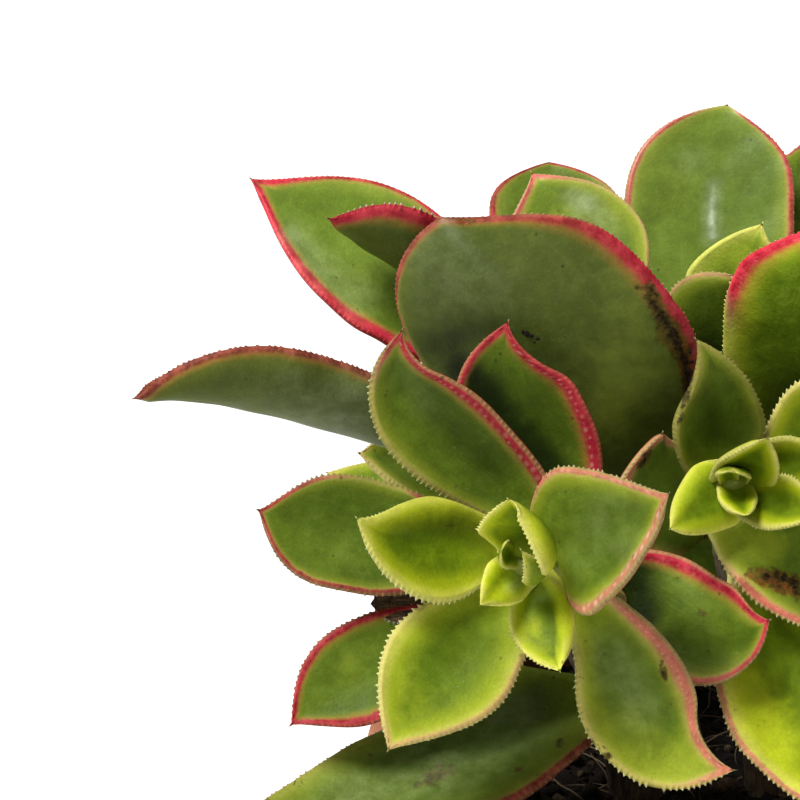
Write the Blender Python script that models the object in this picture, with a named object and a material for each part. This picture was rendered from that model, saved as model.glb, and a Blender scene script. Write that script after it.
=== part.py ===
"""Potted aeonium: a clump of leafy rosettes on short stems, rooted in soil in a plain round clay pot.

Every stem with its small inner leaves, every large leaf, the soil and the pot is a piece of its own.
Metres, +Z up. The origin is the middle of the pot's underside, and the front of the plant looks along -Y.
"""

import math

import bpy
import bmesh
import numpy as np

# ---------------------------------------------------------------------------------------------------------------
# Driving dimensions, in millimetres

POT_HEIGHT = 83.0
RIM_RADIUS = 54.0          # outside of the rolled rim
RIM_HEIGHT = 17.0
POT_SHOULDER = 49.6        # outside of the wall just under the rim
POT_FOOT = 37.5            # outside of the wall at the base
POT_WALL = 4.6
POT_FLOOR = 6.0
DRAIN_RADIUS = 4.0
DRAIN_CIRCLE = 19.0
SOIL_LEVEL = 78.5
CLEARANCE = 0.35           # between pieces that meet


# === shape =====================================================================================================
# Plan of the plant. Positions are read off a front elevation that looks 18 degrees down: steps of 0.13 mm across
# and down, and a depth in mm towards the front. The elevation has a little perspective, from 600 mm away.

TILT = math.radians(18.0)
RIGHT = np.array([1.0, 0.0, 0.0])
UP = np.array([0.0, math.sin(TILT), math.cos(TILT)])
BACK = np.array([0.0, -math.cos(TILT), math.sin(TILT)])
STEP = 0.13
DIST = 600.0
REF = np.array([-49.4, 0.0, 129.9])


def at(px, py, d):
    """Point of the plan, in mm."""
    k = STEP * (1.0 - d / DIST)
    return REF + (px - 400.0) * k * RIGHT + (400.0 - py) * k * UP + d * BACK


def turned(x, y, b):
    """Direction given as right, up and towards the front of the elevation."""
    return unit(x * RIGHT + y * UP + b * BACK)


def unit(v):
    return v / np.linalg.norm(v)


def bezier(p, t):
    t = np.asarray(t)[:, None]
    u = 1.0 - t
    return u**3 * p[0] + 3 * u * u * t * p[1] + 3 * u * t * t * p[2] + t**3 * p[3]


def bezier_slope(p, t):
    t = np.asarray(t)[:, None]
    u = 1.0 - t
    return 3 * u * u * (p[1] - p[0]) + 6 * u * t * (p[2] - p[1]) + 3 * t * t * (p[3] - p[2])


# Stems: crown (plan point), the way the rosette faces, where the stem leaves the soil (x, y), its radius, and how
# far the stem keeps the rosette's direction before it turns down.
STEMS = {
    "a": dict(crown=at(520, 561, 28), axis=turned(-0.20, 0.12, 0.97), root=(-17.0, -8.0), r=3.4, lean=26.0, rise=16.0),
    "b": dict(crown=at(735, 482, 19), axis=turned(0.05, 0.15, 0.98), root=(0.0, -9.0), r=2.9, lean=22.0, rise=18.0),
    "c": dict(crown=at(548, 335, -5), axis=turned(-0.10, 0.90, 0.42), root=(-12.0, 8.0), r=3.8, lean=26.0, rise=16.0),
    "d": dict(crown=at(750, 350, -26), axis=turned(0.05, 0.93, 0.35), root=(4.0, 15.0), r=3.8, lean=26.0, rise=16.0),
    "e": dict(crown=np.array([30.0, -26.0, 118.0]), axis=unit(np.array([0.38, -0.62, 0.68])), root=(14.0, -6.0), r=3.6, lean=22.0, rise=14.0),
    "f": dict(crown=np.array([-36.0, 36.0, 112.0]), axis=unit(np.array([-0.52, 0.50, 0.70])), root=(-12.0, 21.0), r=3.4, lean=18.0, rise=12.0),
    "g": dict(crown=np.array([30.0, 34.0, 121.0]), axis=unit(np.array([0.42, 0.46, 0.78])), root=(16.0, 17.0), r=3.6, lean=20.0, rise=14.0),
}
STEM_DEPTH = 12.0          # how far a stem goes into the soil

for _s in STEMS.values():
    _root = np.array([_s["root"][0], _s["root"][1], SOIL_LEVEL - STEM_DEPTH])
    _p = np.array([_root, _root + np.array([0.0, 0.0, STEM_DEPTH + _s["rise"]]), _s["crown"] - _s["lean"] * _s["axis"], _s["crown"]])
    _t = np.linspace(1.0, 0.0, 400)
    _q = bezier(_p, _t)
    _s["line"] = _q
    _s["slope"] = bezier_slope(_p, _t)
    _s["run"] = np.concatenate([[0.0], np.cumsum(np.linalg.norm(np.diff(_q, axis=0), axis=1))])


def stem_point(name, h):
    """Point, upward direction and radius of a stem, h mm down from its crown."""
    s = STEMS[name]
    h = min(max(h, 0.0), s["run"][-1])
    p = np.array([np.interp(h, s["run"], s["line"][:, i]) for i in range(3)])
    d = unit(np.array([np.interp(h, s["run"], s["slope"][:, i]) for i in range(3)]))
    return p, d, stem_radius(s["r"], h)


def stem_radius(r, h):
    return r * (1.0 - 0.74 * math.exp(-h / 3.0)) + 0.012 * h


def around(name, h, turn, rise):
    """Direction out of a stem: turn degrees round it from the right, rise degrees up from square to it."""
    _, d, _ = stem_point(name, h)
    u = unit(RIGHT - (RIGHT @ d) * d)
    v = np.cross(d, u)
    a, e = math.radians(turn), math.radians(rise)
    out = math.cos(a) * u + math.sin(a) * v
    return math.cos(e) * out + math.sin(e) * d, math.cos(e) * d - math.sin(e) * out


# Leaves. h is how far down the stem the leaf grows, tip its point on the plan, w its width. face is the way the
# upper side looks (the rosette's own direction if not given). dip and lift are the angles, in degrees, by which the
# midrib leaves the straight line at its base and at its tip: both positive make a spoon, a negative lift a
# recurved tip. sway0 and sway1 do the same sideways, or via gives two points of the plan that the midrib passes
# over. cup is how far round each side curls, left and right as seen from above with the tip away, fold a V along
# the midrib, twist and roll turn the blade, in degrees.
LEAVES = {}


def leaf(name, stem, h, tip, w, **more):
    LEAVES[name] = dict(stem=stem, h=h, tip=at(*tip), w=w, **more)


def leaf_polar(name, stem, h, turn, rise, length, w, **more):
    """A leaf given by its direction out of the stem instead of its tip."""
    p, _, r = stem_point(stem, h)
    flat, _ = around(stem, h, turn, 0.0)
    out, face = around(stem, h, turn, rise)
    LEAVES[name] = dict(stem=stem, h=h, tip=p + (r + 2.4 * CLEARANCE) * flat + length * out, w=w, face=face, **more)


# rosette a, front left
leaf("leaf_a03", "a", 5.0, (669, 493, 38), 20.0, via=((578, 541), (628, 519)), face=turned(-0.45, 0.05, 0.9), dip=20, lift=16, cup=(0.35, 0.35), broad=0.38, neck=(0.55, 0.28), sharp=(1.45, 1.45), halves=(0.97, 0.98))
leaf("leaf_a01", "a", 6.5, (357, 518, 29), 14.6, via=((455, 549), (405, 543)), face=turned(0.25, 0.1, 0.95), dip=14, lift=16, cup=(0.55, 0.55), broad=0.5, neck=0.58, sharp=1.9)
leaf("leaf_a02", "a", 8.9, (388, 750, 30), 17.0, via=((470, 645), (425, 696)), face=turned(0.1, 0.35, 0.93), dip=16, lift=14, cup=(0.5, 0.5), broad=0.5, neck=0.58)
leaf("leaf_a10", "a", 10.5, (402, 330, 22), 13.5, via=((499, 479), (420, 413)), face=turned(0.3, -0.25, 0.92), dip=12, lift=14, cup=(0.5, 0.8))
leaf("leaf_a08", "a", 11.0, (735, 770, 23.5), 15.2, via=((619, 660), (655, 736)), face=turned(-0.2, 0.3, 0.93), dip=12, lift=10, cup=(0.5, 0.6), broad=0.55)
leaf("leaf_a09", "a", 16.0, (769, 620, 18.5), 16.0, via=((643, 577, 11.5), (704, 614, 15)), face=turned(-0.1, 0.1, 0.98), dip=12, lift=10, cup=(0.5, 0.75), fold=-0.28, halves=(0.64, 1.24), broad=0.68, neck=(0.38, 0.3), sharp=2.6, off=0.8)
leaf("leaf_a11", "a", 15.0, (508, 322, 16), 17.5, via=((552, 468), (514, 400)), face=turned(0.1, -0.3, 0.95), dip=12, lift=12, cup=(0.5, 0.5), sharp=(2.2, 1.7), halves=(1.0, 0.92))
leaf("leaf_a12", "a", 16.0, (258, 510, 12), 16.0, via=((430, 550), (335, 534)), face=turned(0.2, 0.25, 0.95), dip=10, lift=8, cup=(0.45, 0.45), broad=0.64, sharp=2.4)
leaf("leaf_a13", "a", 18.5, (291, 725, 13), 13.5, via=((440, 648), (357, 683)), face=turned(0.15, 0.35, 0.92), dip=10, lift=8, cup=(0.5, 0.5), halves=(0.95, 1.13), sharp=2.3)
leaf("leaf_a14", "a", 33.5, (205, 850, 20), 23.0, via=((492, 757), (350, 812)), face=turned(0.2, 0.85, 0.5), dip=6, lift=-4, cup=(0.35, 0.35), broad=0.42, neck=0.8, halves=(0.84, 1.0), off=0.4)

# rosette b, front middle
leaf("leaf_b06", "b", 6.5, (696, 339, 18), 13.0, via=((716, 430), (718, 386)), face=turned(0.2, -0.1, 0.97), dip=14, lift=10, cup=(0.4, 0.4), broad=0.40, neck=0.68, sharp=(1.7, 1.3))
leaf("leaf_b07", "b", 7.4, (835, 638, 17), 14.5, via=((770, 548, 14.5), (803, 592, 16)), face=turned(-0.1, 0.3, 0.94), dip=14, lift=12, cup=(0.45, 0.4), broad=0.36, neck=(0.5, 0.9), halves=(1.0, 0.9), off=0.6)
leaf("leaf_b09", "b", 17.0, (663, 433, 11), 16.0, via=((694, 518, 4), (672, 478, 7)), face=turned(0.25, 0.1, 0.95), dip=12, lift=10, cup=(0.3, 0.4), broad=0.6, halves=(1.38, 0.5), sharp=(3.4, 2.4))
leaf("leaf_b10", "b", 16.0, (900, 470, 4), 15.0, face=turned(-0.2, 0.0, 0.95), dip=12, lift=8, cup=(0.4, 0.4))
leaf("leaf_b08", "b", 19.5, (888, 842, 20), 21.0, via=((772, 637), (813, 730)), face=turned(0.0, 0.5, 0.85), dip=10, lift=6, cup=(0.4, 0.4), neck=0.32)
leaf("leaf_b11", "b", 9.0, (880, 395, 14), 16.0, face=turned(-0.25, -0.1, 0.95), dip=12, lift=10, cup=(0.4, 0.4))
leaf("leaf_b12", "b", 12.8, (905, 560, 10), 16.0, face=turned(-0.25, 0.1, 0.95), dip=12, lift=8, cup=(0.4, 0.4))

# rosette c, back left
leaf("leaf_c04", "c", 7.3, (328, 218, 4), 16.0, via=((452, 292), (388, 241)), face=turned(0.3, 0.85, -0.4), dip=14, lift=6, cup=(0.6, 0.6), off=0.5)
leaf("leaf_c05", "c", 8.0, (532, 173, -22), 21.0, via=((576, 300), (566, 234)), face=turned(0.1, 0.3, 0.95), dip=16, lift=10, cup=(0.4, 0.4), sharp=(2.4, 1.85), halves=(0.98, 1.05))
leaf("leaf_c03", "c", 12.0, (250, 178, -8), 22.0, via=((446, 309), (353, 241)), face=turned(0.3, 0.5, 0.8), dip=14, lift=6, cup=(0.4, 0.4), broad=0.55, sharp=(2.6, 2.2), halves=(1.28, 0.95))
leaf("leaf_c06", "c", 13.0, (549, 162, -30), 21.5, via=((562, 300), (556, 225)), face=turned(0.0, 0.3, 0.95), dip=16, lift=8, cup=(0.35, 0.35), sharp=(5.5, 3.4), halves=(0.86, 0.90))
leaf("leaf_c01", "c", 20.0, (441, 217, 16), 34.0, via=((575, 400), (500, 305)), face=turned(0.25, 0.15, -0.95), dip=24, lift=14, cup=(0.35, 0.35), broad=0.42, neck=0.4, sharp=(3.4, 4.2), halves=(1.085, 0.9))
leaf("leaf_c11", "c", 17.0, (132, 399, 6), 22.0, via=((385, 432), (245, 398)), face=turned(0.05, 0.98, -0.2), dip=10, lift=-8, cup=(1.3, 1.3))
leaf("leaf_c07", "c", 15.2, (674, 345, -16), 16.0, face=turned(-0.3, 0.8, 0.4), dip=14, lift=10, cup=(0.45, 0.45), neck=0.3)
leaf("leaf_c08", "c", 15.5, (606, 250, -53), 15.8, face=turned(-0.2, 0.9, 0.4), dip=14, lift=8, cup=(0.4, 0.4), neck=0.3)
leaf("leaf_c09", "c", 20.5, (440, 268, -46), 19.0, face=turned(0.2, 0.9, 0.4), dip=12, lift=6, cup=(0.4, 0.4), neck=0.3)

# rosette d, back right
leaf("leaf_d02", "d", 5.5, (762, 224, -28), 15.0, via=((730, 330), (740, 272)), face=turned(-0.2, 0.3, 0.93), dip=16, lift=10, cup=(0.5, 0.5), sharp=(1.4, 2.0), halves=(0.95, 1.0))
leaf("leaf_d04", "d", 8.0, (735, 275, -12), 16.0, via=((735, 365), (722, 317)), face=turned(0.1, 0.3, -0.95), dip=18, lift=10, cup=(0.5, 0.5), neck=0.3, sharp=(2.0, 3.0), halves=(1.0, 1.04))
leaf("leaf_d01", "d", 9.5, (727, 105, -46), 24.5, via=((716, 295), (713, 190)), face=turned(0.0, 0.35, 0.94), dip=16, lift=6, cup=(0.4, 0.4), broad=0.55, sharp=(2.25, 3.1), halves=(1.05, 0.96))
leaf("leaf_d03", "d", 12.8, (838, 118, -50), 24.0, face=turned(-0.2, 0.3, 0.93), dip=16, lift=6, cup=(0.35, 0.35), neck=0.3)
leaf("leaf_d05", "d", 14.2, (850, 212, 2), 30.0, via=((800, 370), (832, 300)), face=turned(0.0, 0.1, -1.0), dip=30, lift=14, cup=(0.35, 0.35), neck=0.4, sharp=(2.0, 2.8), halves=(1.0, 0.90))
leaf("leaf_d06", "d", 15.5, (745, 205, -70), 22.0, face=turned(0.0, 0.9, 0.4), dip=14, lift=8, cup=(0.4, 0.4))
leaf("leaf_d07", "d", 17.0, (908, 330, -25), 17.0, face=turned(-0.4, 0.8, 0.4), dip=14, lift=10, cup=(0.45, 0.45))
leaf("leaf_d08", "d", 19.0, (686, 285, -66), 20.0, face=turned(0.2, 0.9, 0.3), dip=12, lift=6, cup=(0.4, 0.4))

# rosette e, front right
for _i, (_h, _turn, _rise, _l, _w) in enumerate((
        (7.4, 30, 40, 29, 17.5), (9.2, 168, 44, 27, 17.0), (11.0, 305, 30, 33, 19.0), (12.8, 82, 26, 34, 19.5),
        (14.8, 248, 18, 35, 20.0), (17.0, 352, 9, 39, 21.0))):
    leaf_polar(f"leaf_e{_i + 1:02d}", "e", _h, _turn, _rise, _l, _w, dip=16, lift=12, cup=(0.45, 0.45))

# rosette f, back left, low
leaf("leaf_f01", "f", 11.0, (326, 472, -40), 15.0, face=turned(0.3, 0.75, 0.6), dip=12, lift=8, cup=(0.4, 0.4))
leaf("leaf_f02", "f", 7.0, (359, 453, -24), 14.0, face=turned(0.3, 0.7, 0.6), dip=14, lift=10, cup=(0.4, 0.4))
for _i, (_h, _turn, _rise, _l, _w) in enumerate(((7.4, 50, 42, 25, 16.0), (9.6, 112, 28, 28, 17.5), (13.5, 70, 10, 34, 19.5))):
    leaf_polar(f"leaf_f{_i + 3:02d}", "f", _h, _turn, _rise, _l, _w, dip=16, lift=12, cup=(0.45, 0.45))

# rosette g, back right
for _i, (_h, _turn, _rise, _l, _w) in enumerate((
        (7.4, 75, 38, 28, 17.5), (8.8, 222, 60, 21, 14.5), (10.8, 335, 30, 32, 19.0), (12.8, 118, 24, 34, 20.0),
        (15.2, 25, 16, 37, 21.0), (17.4, 70, 3, 39, 22.0))):
    leaf_polar(f"leaf_g{_i + 1:02d}", "g", _h, _turn, _rise, _l, _w, dip=16, lift=12, cup=(0.45, 0.45))

# Inner leaves, which stay on their stem
INNER = {}


def inner(stem, h, tip, w, **more):
    INNER.setdefault(stem, []).append(dict(stem=stem, h=h, tip=at(*tip), w=w, sunk=True, **more))


inner("a", 3.6, (560, 671, 34), 10.4, via=((550, 597), (556, 638)), face=turned(-0.30, 0.5, 0.85), dip=16, lift=10, cup=(2.5, 0.3), th=1.25, broad=0.5, neck=0.55, halves=(1.18, 1.12))
inner("a", 3.0, (508, 499, 37), 12.0, base=(531, 556, 28), via=((531, 534), (521, 515)), face=turned(-0.32, -0.3, 0.92), dip=14, lift=12, cup=(0.25, 2.3), th=1.3, broad=0.40, neck=0.62, sharp=1.7, halves=(1.15, 1.32))
inner("a", 2.4, (480, 605, 36), 7.0, face=turned(0.3, 0.35, 0.9), dip=16, lift=12, cup=(0.5, 0.5), th=1.6, broad=0.30, neck=0.85, sharp=1.25)
inner("a", 1.4, (521, 550, 36), 4.4, base=(539, 577, 30.5), face=turned(-0.5, 0.5, -0.6), dip=24, lift=18, cup=(0.7, 0.7), th=1.4, broad=0.2, neck=0.9, sharp=1.1)
inner("a", 1.0, (502, 551, 35), 3.6, face=turned(0.5, 0.0, 0.85), dip=16, lift=16, cup=(0.5, 0.5), th=1.4, neck=0.7)
inner("b", 3.4, (670, 529, 24), 10.8, via=((713, 499), (688, 517)), face=turned(0.3, 0.2, 0.93), dip=18, lift=12, cup=(0.3, 0.4), th=1.9, broad=0.26, neck=0.75, sharp=1.6, halves=(0.88, 0.98))
inner("b", 3.8, (838, 456, 26), 7.5, via=((765, 467), (800, 461)), face=turned(-0.3, -0.1, 0.93), dip=18, lift=12, cup=(0.6, 0.6), fold=0.15, th=1.8, neck=0.6)
inner("b", 3.1, (820, 518, 27), 8.0, via=((762, 503), (790, 508)), face=turned(-0.3, 0.3, 0.9), dip=18, lift=12, cup=(0.6, 0.6), fold=0.15, th=1.8, neck=0.6)
inner("b", 2.4, (768, 438, 29), 9.2, via=((747, 466), (759, 451)), face=turned(-0.1, -0.3, 0.93), dip=20, lift=16, cup=(1.1, 0.5), th=1.6, broad=0.3, neck=0.85, sharp=1.8)
inner("b", 1.7, (747, 515, 27), 5.6, face=turned(0.0, 0.4, 0.9), dip=18, lift=16, cup=(0.6, 0.6), th=1.5, broad=0.25, neck=0.85, sharp=1.6)
inner("b", 1.0, (728, 472, 25), 3.4, base=(729, 486, 17), face=turned(0.1, -0.5, -0.7), dip=24, lift=20, cup=(0.5, 0.5), th=1.5, neck=0.7)
inner("b", 0.8, (739, 474, 25), 2.8, base=(739, 485, 17), face=turned(-0.1, -0.5, -0.7), dip=24, lift=20, cup=(0.5, 0.5), th=1.4, neck=0.7)
inner("c", 30.0, (736, 574, -24), 17.0, face=turned(0.0, 0.55, 0.83), dip=14, lift=10, cup=(0.35, 0.35), th=2.0, neck=0.5, old=True)
for _k, _n, _start, _long in (("c", 8, 5.0, 14.0), ("d", 8, 225.0, 13.0), ("e", 10, -60.0, 21.0), ("f", 9, 253.0, 17.0), ("g", 10, 10.0, 21.0)):
    for _i in range(_n):
        _h = 5.4 - 4.6 * _i / (_n - 1)
        _l = 4.5 + (_long - 4.5) * (1.0 - _i / (_n - 1)) ** 1.25
        _out, _face = around(_k, _h, _start + 137.5 * _i, 42.0 + 32.0 * _i / (_n - 1))
        INNER.setdefault(_k, []).append(dict(stem=_k, h=_h, tip=stem_point(_k, _h)[0] + _l * _out, w=0.62 * _l + 1.0, face=_face, sunk=True,
                                             dip=18, lift=14, cup=(0.6, 0.6), fold=0.12, th=1.9 - 0.6 * _i / (_n - 1)))


class Blade:
    """One leaf as a surface: a midrib, a width along it, and a rounded section across it."""

    def __init__(self, spec):
        g = spec.get
        p, d, r = stem_point(g("stem"), g("h"))
        tip = g("tip")
        out = (tip - p) - ((tip - p) @ d) * d
        out = unit(out) if np.linalg.norm(out) > 1e-6 else unit(np.cross(d, RIGHT))
        steep = max(0.0, unit(tip - p) @ d)
        base = p + out * ((0.25 * r) if g("sunk") else (r + 2.4 * CLEARANCE + 1.2 * steep + g("off", 0.0)))
        if g("base") is not None:
            base = at(*g("base"))
        chord = tip - base
        self.length = np.linalg.norm(chord)
        c = chord / self.length
        face = g("face", STEMS[g("stem")]["axis"])
        n = unit(face - (face @ c) * c)
        side = np.cross(c, n)
        a0, a1 = math.radians(g("dip", 0.0)), math.radians(g("lift", 0.0))
        b0, b1 = math.radians(g("sway0", 0.0)), math.radians(g("sway1", 0.0))
        k = 0.37 * self.length
        self.p = np.array([base,
                           base + k * (c - n * math.tan(a0) + side * math.tan(b0)),
                           tip - k * (c + n * math.tan(a1) + side * math.tan(b1)),
                           tip])
        if g("via"):
            # the midrib passes over two points of the plan, a third and two thirds along, at the depth it has there
            ts = np.array([0.34, 0.68])
            q = bezier(self.p, ts)
            want = [at(*v, (q[i] - REF) @ BACK) if len(v) == 2 else at(*v) for i, v in enumerate(g("via"))]
            m = np.array([[3 * (1 - t) ** 2 * t, 3 * (1 - t) * t * t] for t in ts])
            rest = np.array([want[i] - (1 - t) ** 3 * base - t**3 * tip for i, t in enumerate(ts)])
            self.p[1:3] = np.linalg.solve(m, rest)
        self.n = n
        self.w = g("w")
        self.cup = g("cup", (0.4, 0.4))
        self.fold = g("fold", 0.0)
        self.twist = math.radians(g("twist", 0.0))
        self.roll = math.radians(g("roll", 0.0))
        self.thick = g("th", 2.7)
        self.broad = g("broad", 0.60)      # where along the leaf it is widest
        self.neck = g("neck", 0.36)        # width at the base, as a share of the full width; one value, or left and right
        self.sharp = g("sharp", 2.0)       # 1.5 a long point, 2.5 a blunt end; one value, or left and right
        if not isinstance(self.sharp, tuple):
            self.sharp = (self.sharp, self.sharp)
        if not isinstance(self.neck, tuple):
            self.neck = (self.neck, self.neck)
        self.halves = g("halves", (1.0, 1.0))

    def half_width(self, t, s=1.0):
        t = np.asarray(t, float)
        neck = self.neck[0] if s < 0 else self.neck[1]
        lo = neck + (1.0 - neck) * np.sin(0.5 * math.pi * np.clip(t / self.broad, 0, 1)) ** 1.35
        u = np.clip((t - self.broad) / (1.0 - self.broad), 0, 1)
        hi = 1.0 - u ** (self.sharp[0] if s < 0 else self.sharp[1])
        return 0.5 * self.w * np.where(t < self.broad, lo, hi)

    def thickness(self, t):
        t = np.asarray(t, float)
        lo = 0.74 + 0.26 * np.sin(0.5 * math.pi * np.clip(t / 0.33, 0, 1))
        hi = 0.40 + 0.60 * np.cos(0.5 * math.pi * np.clip((t - 0.33) / 0.67, 0, 1))
        return self.thick * np.where(t < 0.33, lo, hi)

    def frame(self, t):
        """Points, tangents, face normals and side directions along the midrib."""
        t = np.asarray(t, float)
        pos = bezier(self.p, t)
        tan = bezier_slope(self.p, t)
        tan /= np.linalg.norm(tan, axis=1)[:, None]
        nor = self.n[None, :] - (tan @ self.n)[:, None] * tan
        nor /= np.linalg.norm(nor, axis=1)[:, None]
        side = np.cross(tan, nor)
        a = (self.roll + self.twist * t)[:, None]
        return pos, tan, np.cos(a) * nor + np.sin(a) * side, np.cos(a) * side - np.sin(a) * nor

    def surface(self, t, s):
        """Middle surface and its normal on the grid t by s; s runs from -1, the left margin, to 1."""
        t, s = np.asarray(t, float), np.asarray(s, float)
        pos, _, nor, side = self.frame(t)
        th = self.thickness(t)[:, None]
        right = s[None, :] > 0
        h = np.where(right, self.half_width(t, 1.0)[:, None] * self.halves[1], self.half_width(t, -1.0)[:, None] * self.halves[0])
        cup = np.where(right, self.cup[1], self.cup[0])
        cup = np.sign(cup) * np.minimum(np.maximum(np.abs(cup), 1e-3), np.maximum(h, 1e-3) / (1.5 * th))
        ang = cup * s[None, :]
        x = h * np.sin(ang) / cup
        z = h * (1.0 - np.cos(ang)) / cup + h * self.fold * (np.sqrt(s * s + 0.03) - math.sqrt(0.03))[None, :]
        dx = h * np.cos(ang)
        dz = h * np.sin(ang) + h * self.fold * (s / np.sqrt(s * s + 0.03))[None, :]
        ln = np.sqrt(dx * dx + dz * dz) + 1e-9
        nx, nz = -dz / ln, dx / ln
        mid = pos[:, None, :] + x[..., None] * side[:, None, :] + z[..., None] * nor[:, None, :]
        nrm = nx[..., None] * side[:, None, :] + nz[..., None] * nor[:, None, :]
        return mid, nrm

    def solid(self, t, s, up=0.36, down=0.64):
        """Closed mesh of the leaf: rings at t, a point at the tip. s is symmetric and holds -1 and 1."""
        mid, nrm = self.surface(t, s)
        q = (1.0 - np.abs(s) ** 2.4) ** 0.75
        th = self.thickness(t)[:, None] * np.minimum(1.0, self.half_width(t)[:, None] / 2.2)
        top = mid + (up * th * q[None, :])[..., None] * nrm
        bottom = mid - (down * th * q[None, :])[..., None] * nrm
        ring = np.concatenate([top, bottom[:, -2:0:-1]], axis=1)
        n, m = ring.shape[:2]
        verts = ring.reshape(-1, 3).tolist() + [self.p[3].tolist()]
        faces = [tuple(reversed(range(m)))]
        for i in range(n - 1):
            for j in range(m):
                k = (j + 1) % m
                faces.append((i * m + j, i * m + k, (i + 1) * m + k, (i + 1) * m + j))
        for j in range(m):
            faces.append(((n - 1) * m + j, (n - 1) * m + (j + 1) % m, n * m))
        return verts, faces


LEAF_T = np.array([0.0, 0.16, 0.34, 0.54, 0.73, 0.88, 0.965])
LEAF_S = np.array([-1.0, -0.62, 0.0, 0.62, 1.0])
INNER_T = np.array([0.0, 0.3, 0.58, 0.84])
INNER_S = np.array([-1.0, 0.0, 1.0])


def stem_solid(name, grow=0.0, upto=None, sides=9):
    """Closed tube along a stem, round at the crown. upto leaves out what is nearer the crown than that."""
    s = STEMS[name]
    total = s["run"][-1]
    if upto is None:
        hs = [0.5, 1.6, 3.4, 6.0] + list(np.linspace(10.0, total, 6))
    else:
        hs = list(np.linspace(upto, total, 4))
    verts, faces = [], []
    d = None
    for h in hs:
        p, d, r = stem_point(name, h)
        u = unit(np.array([0.0, 1.0, 0.0]) - d[1] * d)
        v = np.cross(d, u)
        for j in range(sides):
            a = 2 * math.pi * j / sides
            verts.append((p + (r + grow) * (math.cos(a) * u + math.sin(a) * v)).tolist())
    n = len(hs)
    for i in range(n - 1):
        for j in range(sides):
            k = (j + 1) % sides
            faces.append((i * sides + k, i * sides + j, (i + 1) * sides + j, (i + 1) * sides + k))
    if upto is None:
        verts.append((s["crown"] + 0.3 * s["axis"]).tolist())
        for j in range(sides):
            faces.append((j, (j + 1) % sides, n * sides))
    else:
        faces.append(tuple(range(sides)))
    faces.append(tuple(reversed(range((n - 1) * sides, n * sides))))
    return verts, faces


def pot_inner_radius(z):
    """Inside radius of the pot at height z."""
    outer = POT_FOOT + (POT_SHOULDER - POT_FOOT) * min(z / (POT_HEIGHT - RIM_HEIGHT), 1.0)
    return outer - POT_WALL


POT_PROFILE = [
    (0.0, 0.0), (POT_FOOT - 1.2, 0.0), (POT_FOOT, 1.2), (POT_SHOULDER, POT_HEIGHT - RIM_HEIGHT), (RIM_RADIUS - 1.6, POT_HEIGHT - RIM_HEIGHT),
    (RIM_RADIUS - 0.6, POT_HEIGHT - RIM_HEIGHT + 1.4), (RIM_RADIUS, POT_HEIGHT - 3.4), (RIM_RADIUS - 0.7, POT_HEIGHT - 1.0),
    (RIM_RADIUS - 2.2, POT_HEIGHT), (RIM_RADIUS - 4.6, POT_HEIGHT), (RIM_RADIUS - 5.9, POT_HEIGHT - 1.2),
    (pot_inner_radius(POT_HEIGHT - RIM_HEIGHT) + 0.6, POT_HEIGHT - RIM_HEIGHT), (pot_inner_radius(POT_FLOOR) - 2.0, POT_FLOOR + 0.8),
    (pot_inner_radius(POT_FLOOR) - 5.0, POT_FLOOR), (0.0, POT_FLOOR),
]


def soil_height(x, y):
    """Height of the soil: nearly level, a little higher in the middle, with low lumps."""
    r = np.hypot(x, y)
    return (SOIL_LEVEL - 1.6 * (r / 45.0) ** 2 + 0.7 * np.sin(0.21 * x + 1.3) * np.cos(0.17 * y - 0.4) + 0.5 * np.sin(0.33 * y + 0.19 * x))


def soil_solid():
    sides = 28
    verts, faces = [], []
    rings = [(0.0, "top")] + [(k, "top") for k in (12.0, 24.0, 35.0, 44.0)]
    edge_top = pot_inner_radius(POT_HEIGHT - RIM_HEIGHT) + 0.6 + (SOIL_LEVEL - 2.2 - (POT_HEIGHT - RIM_HEIGHT)) * (
        (RIM_RADIUS - 5.9 - pot_inner_radius(POT_HEIGHT - RIM_HEIGHT) - 0.6) / (RIM_HEIGHT - 1.2))
    lower = [(edge_top - CLEARANCE - 0.35, None), (pot_inner_radius(POT_HEIGHT - RIM_HEIGHT) - CLEARANCE, POT_HEIGHT - RIM_HEIGHT),
             (pot_inner_radius(POT_FLOOR) - 2.6, POT_FLOOR + 2.0), (pot_inner_radius(POT_FLOOR) - 6.0, POT_FLOOR + CLEARANCE + 0.1)]
    verts.append((0.0, 0.0, float(soil_height(0.0, 0.0))))
    for r, _ in rings[1:]:
        for j in range(sides):
            a = 2 * math.pi * j / sides
            x, y = r * math.cos(a), r * math.sin(a)
            verts.append((x, y, float(soil_height(x, y))))
    for r, z in lower:
        for j in range(sides):
            a = 2 * math.pi * j / sides
            x, y = r * math.cos(a), r * math.sin(a)
            verts.append((x, y, float(soil_height(x, y)) - 0.6 if z is None else z))
    count = len(rings) - 1 + len(lower)
    for j in range(sides):
        faces.append((0, 1 + j, 1 + (j + 1) % sides))
    for i in range(count - 1):
        for j in range(sides):
            k = (j + 1) % sides
            a, b = 1 + i * sides, 1 + (i + 1) * sides
            faces.append((a + j, b + j, b + k, a + k))
    last = 1 + (count - 1) * sides
    faces.append(tuple(reversed(range(last, last + sides))))
    return verts, faces
# === end of shape ==============================================================================================


for _o in list(bpy.data.objects):
    bpy.data.objects.remove(_o, do_unlink=True)


def material(name, colour, rough, metallic=0.0):
    m = bpy.data.materials.new(name)
    m.use_nodes = True
    bsdf = m.node_tree.nodes["Principled BSDF"]
    bsdf.inputs["Base Color"].default_value = (*colour, 1.0)
    bsdf.inputs["Roughness"].default_value = rough
    bsdf.inputs["Metallic"].default_value = metallic
    m.diffuse_color = (*colour, 1.0)
    return m


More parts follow.
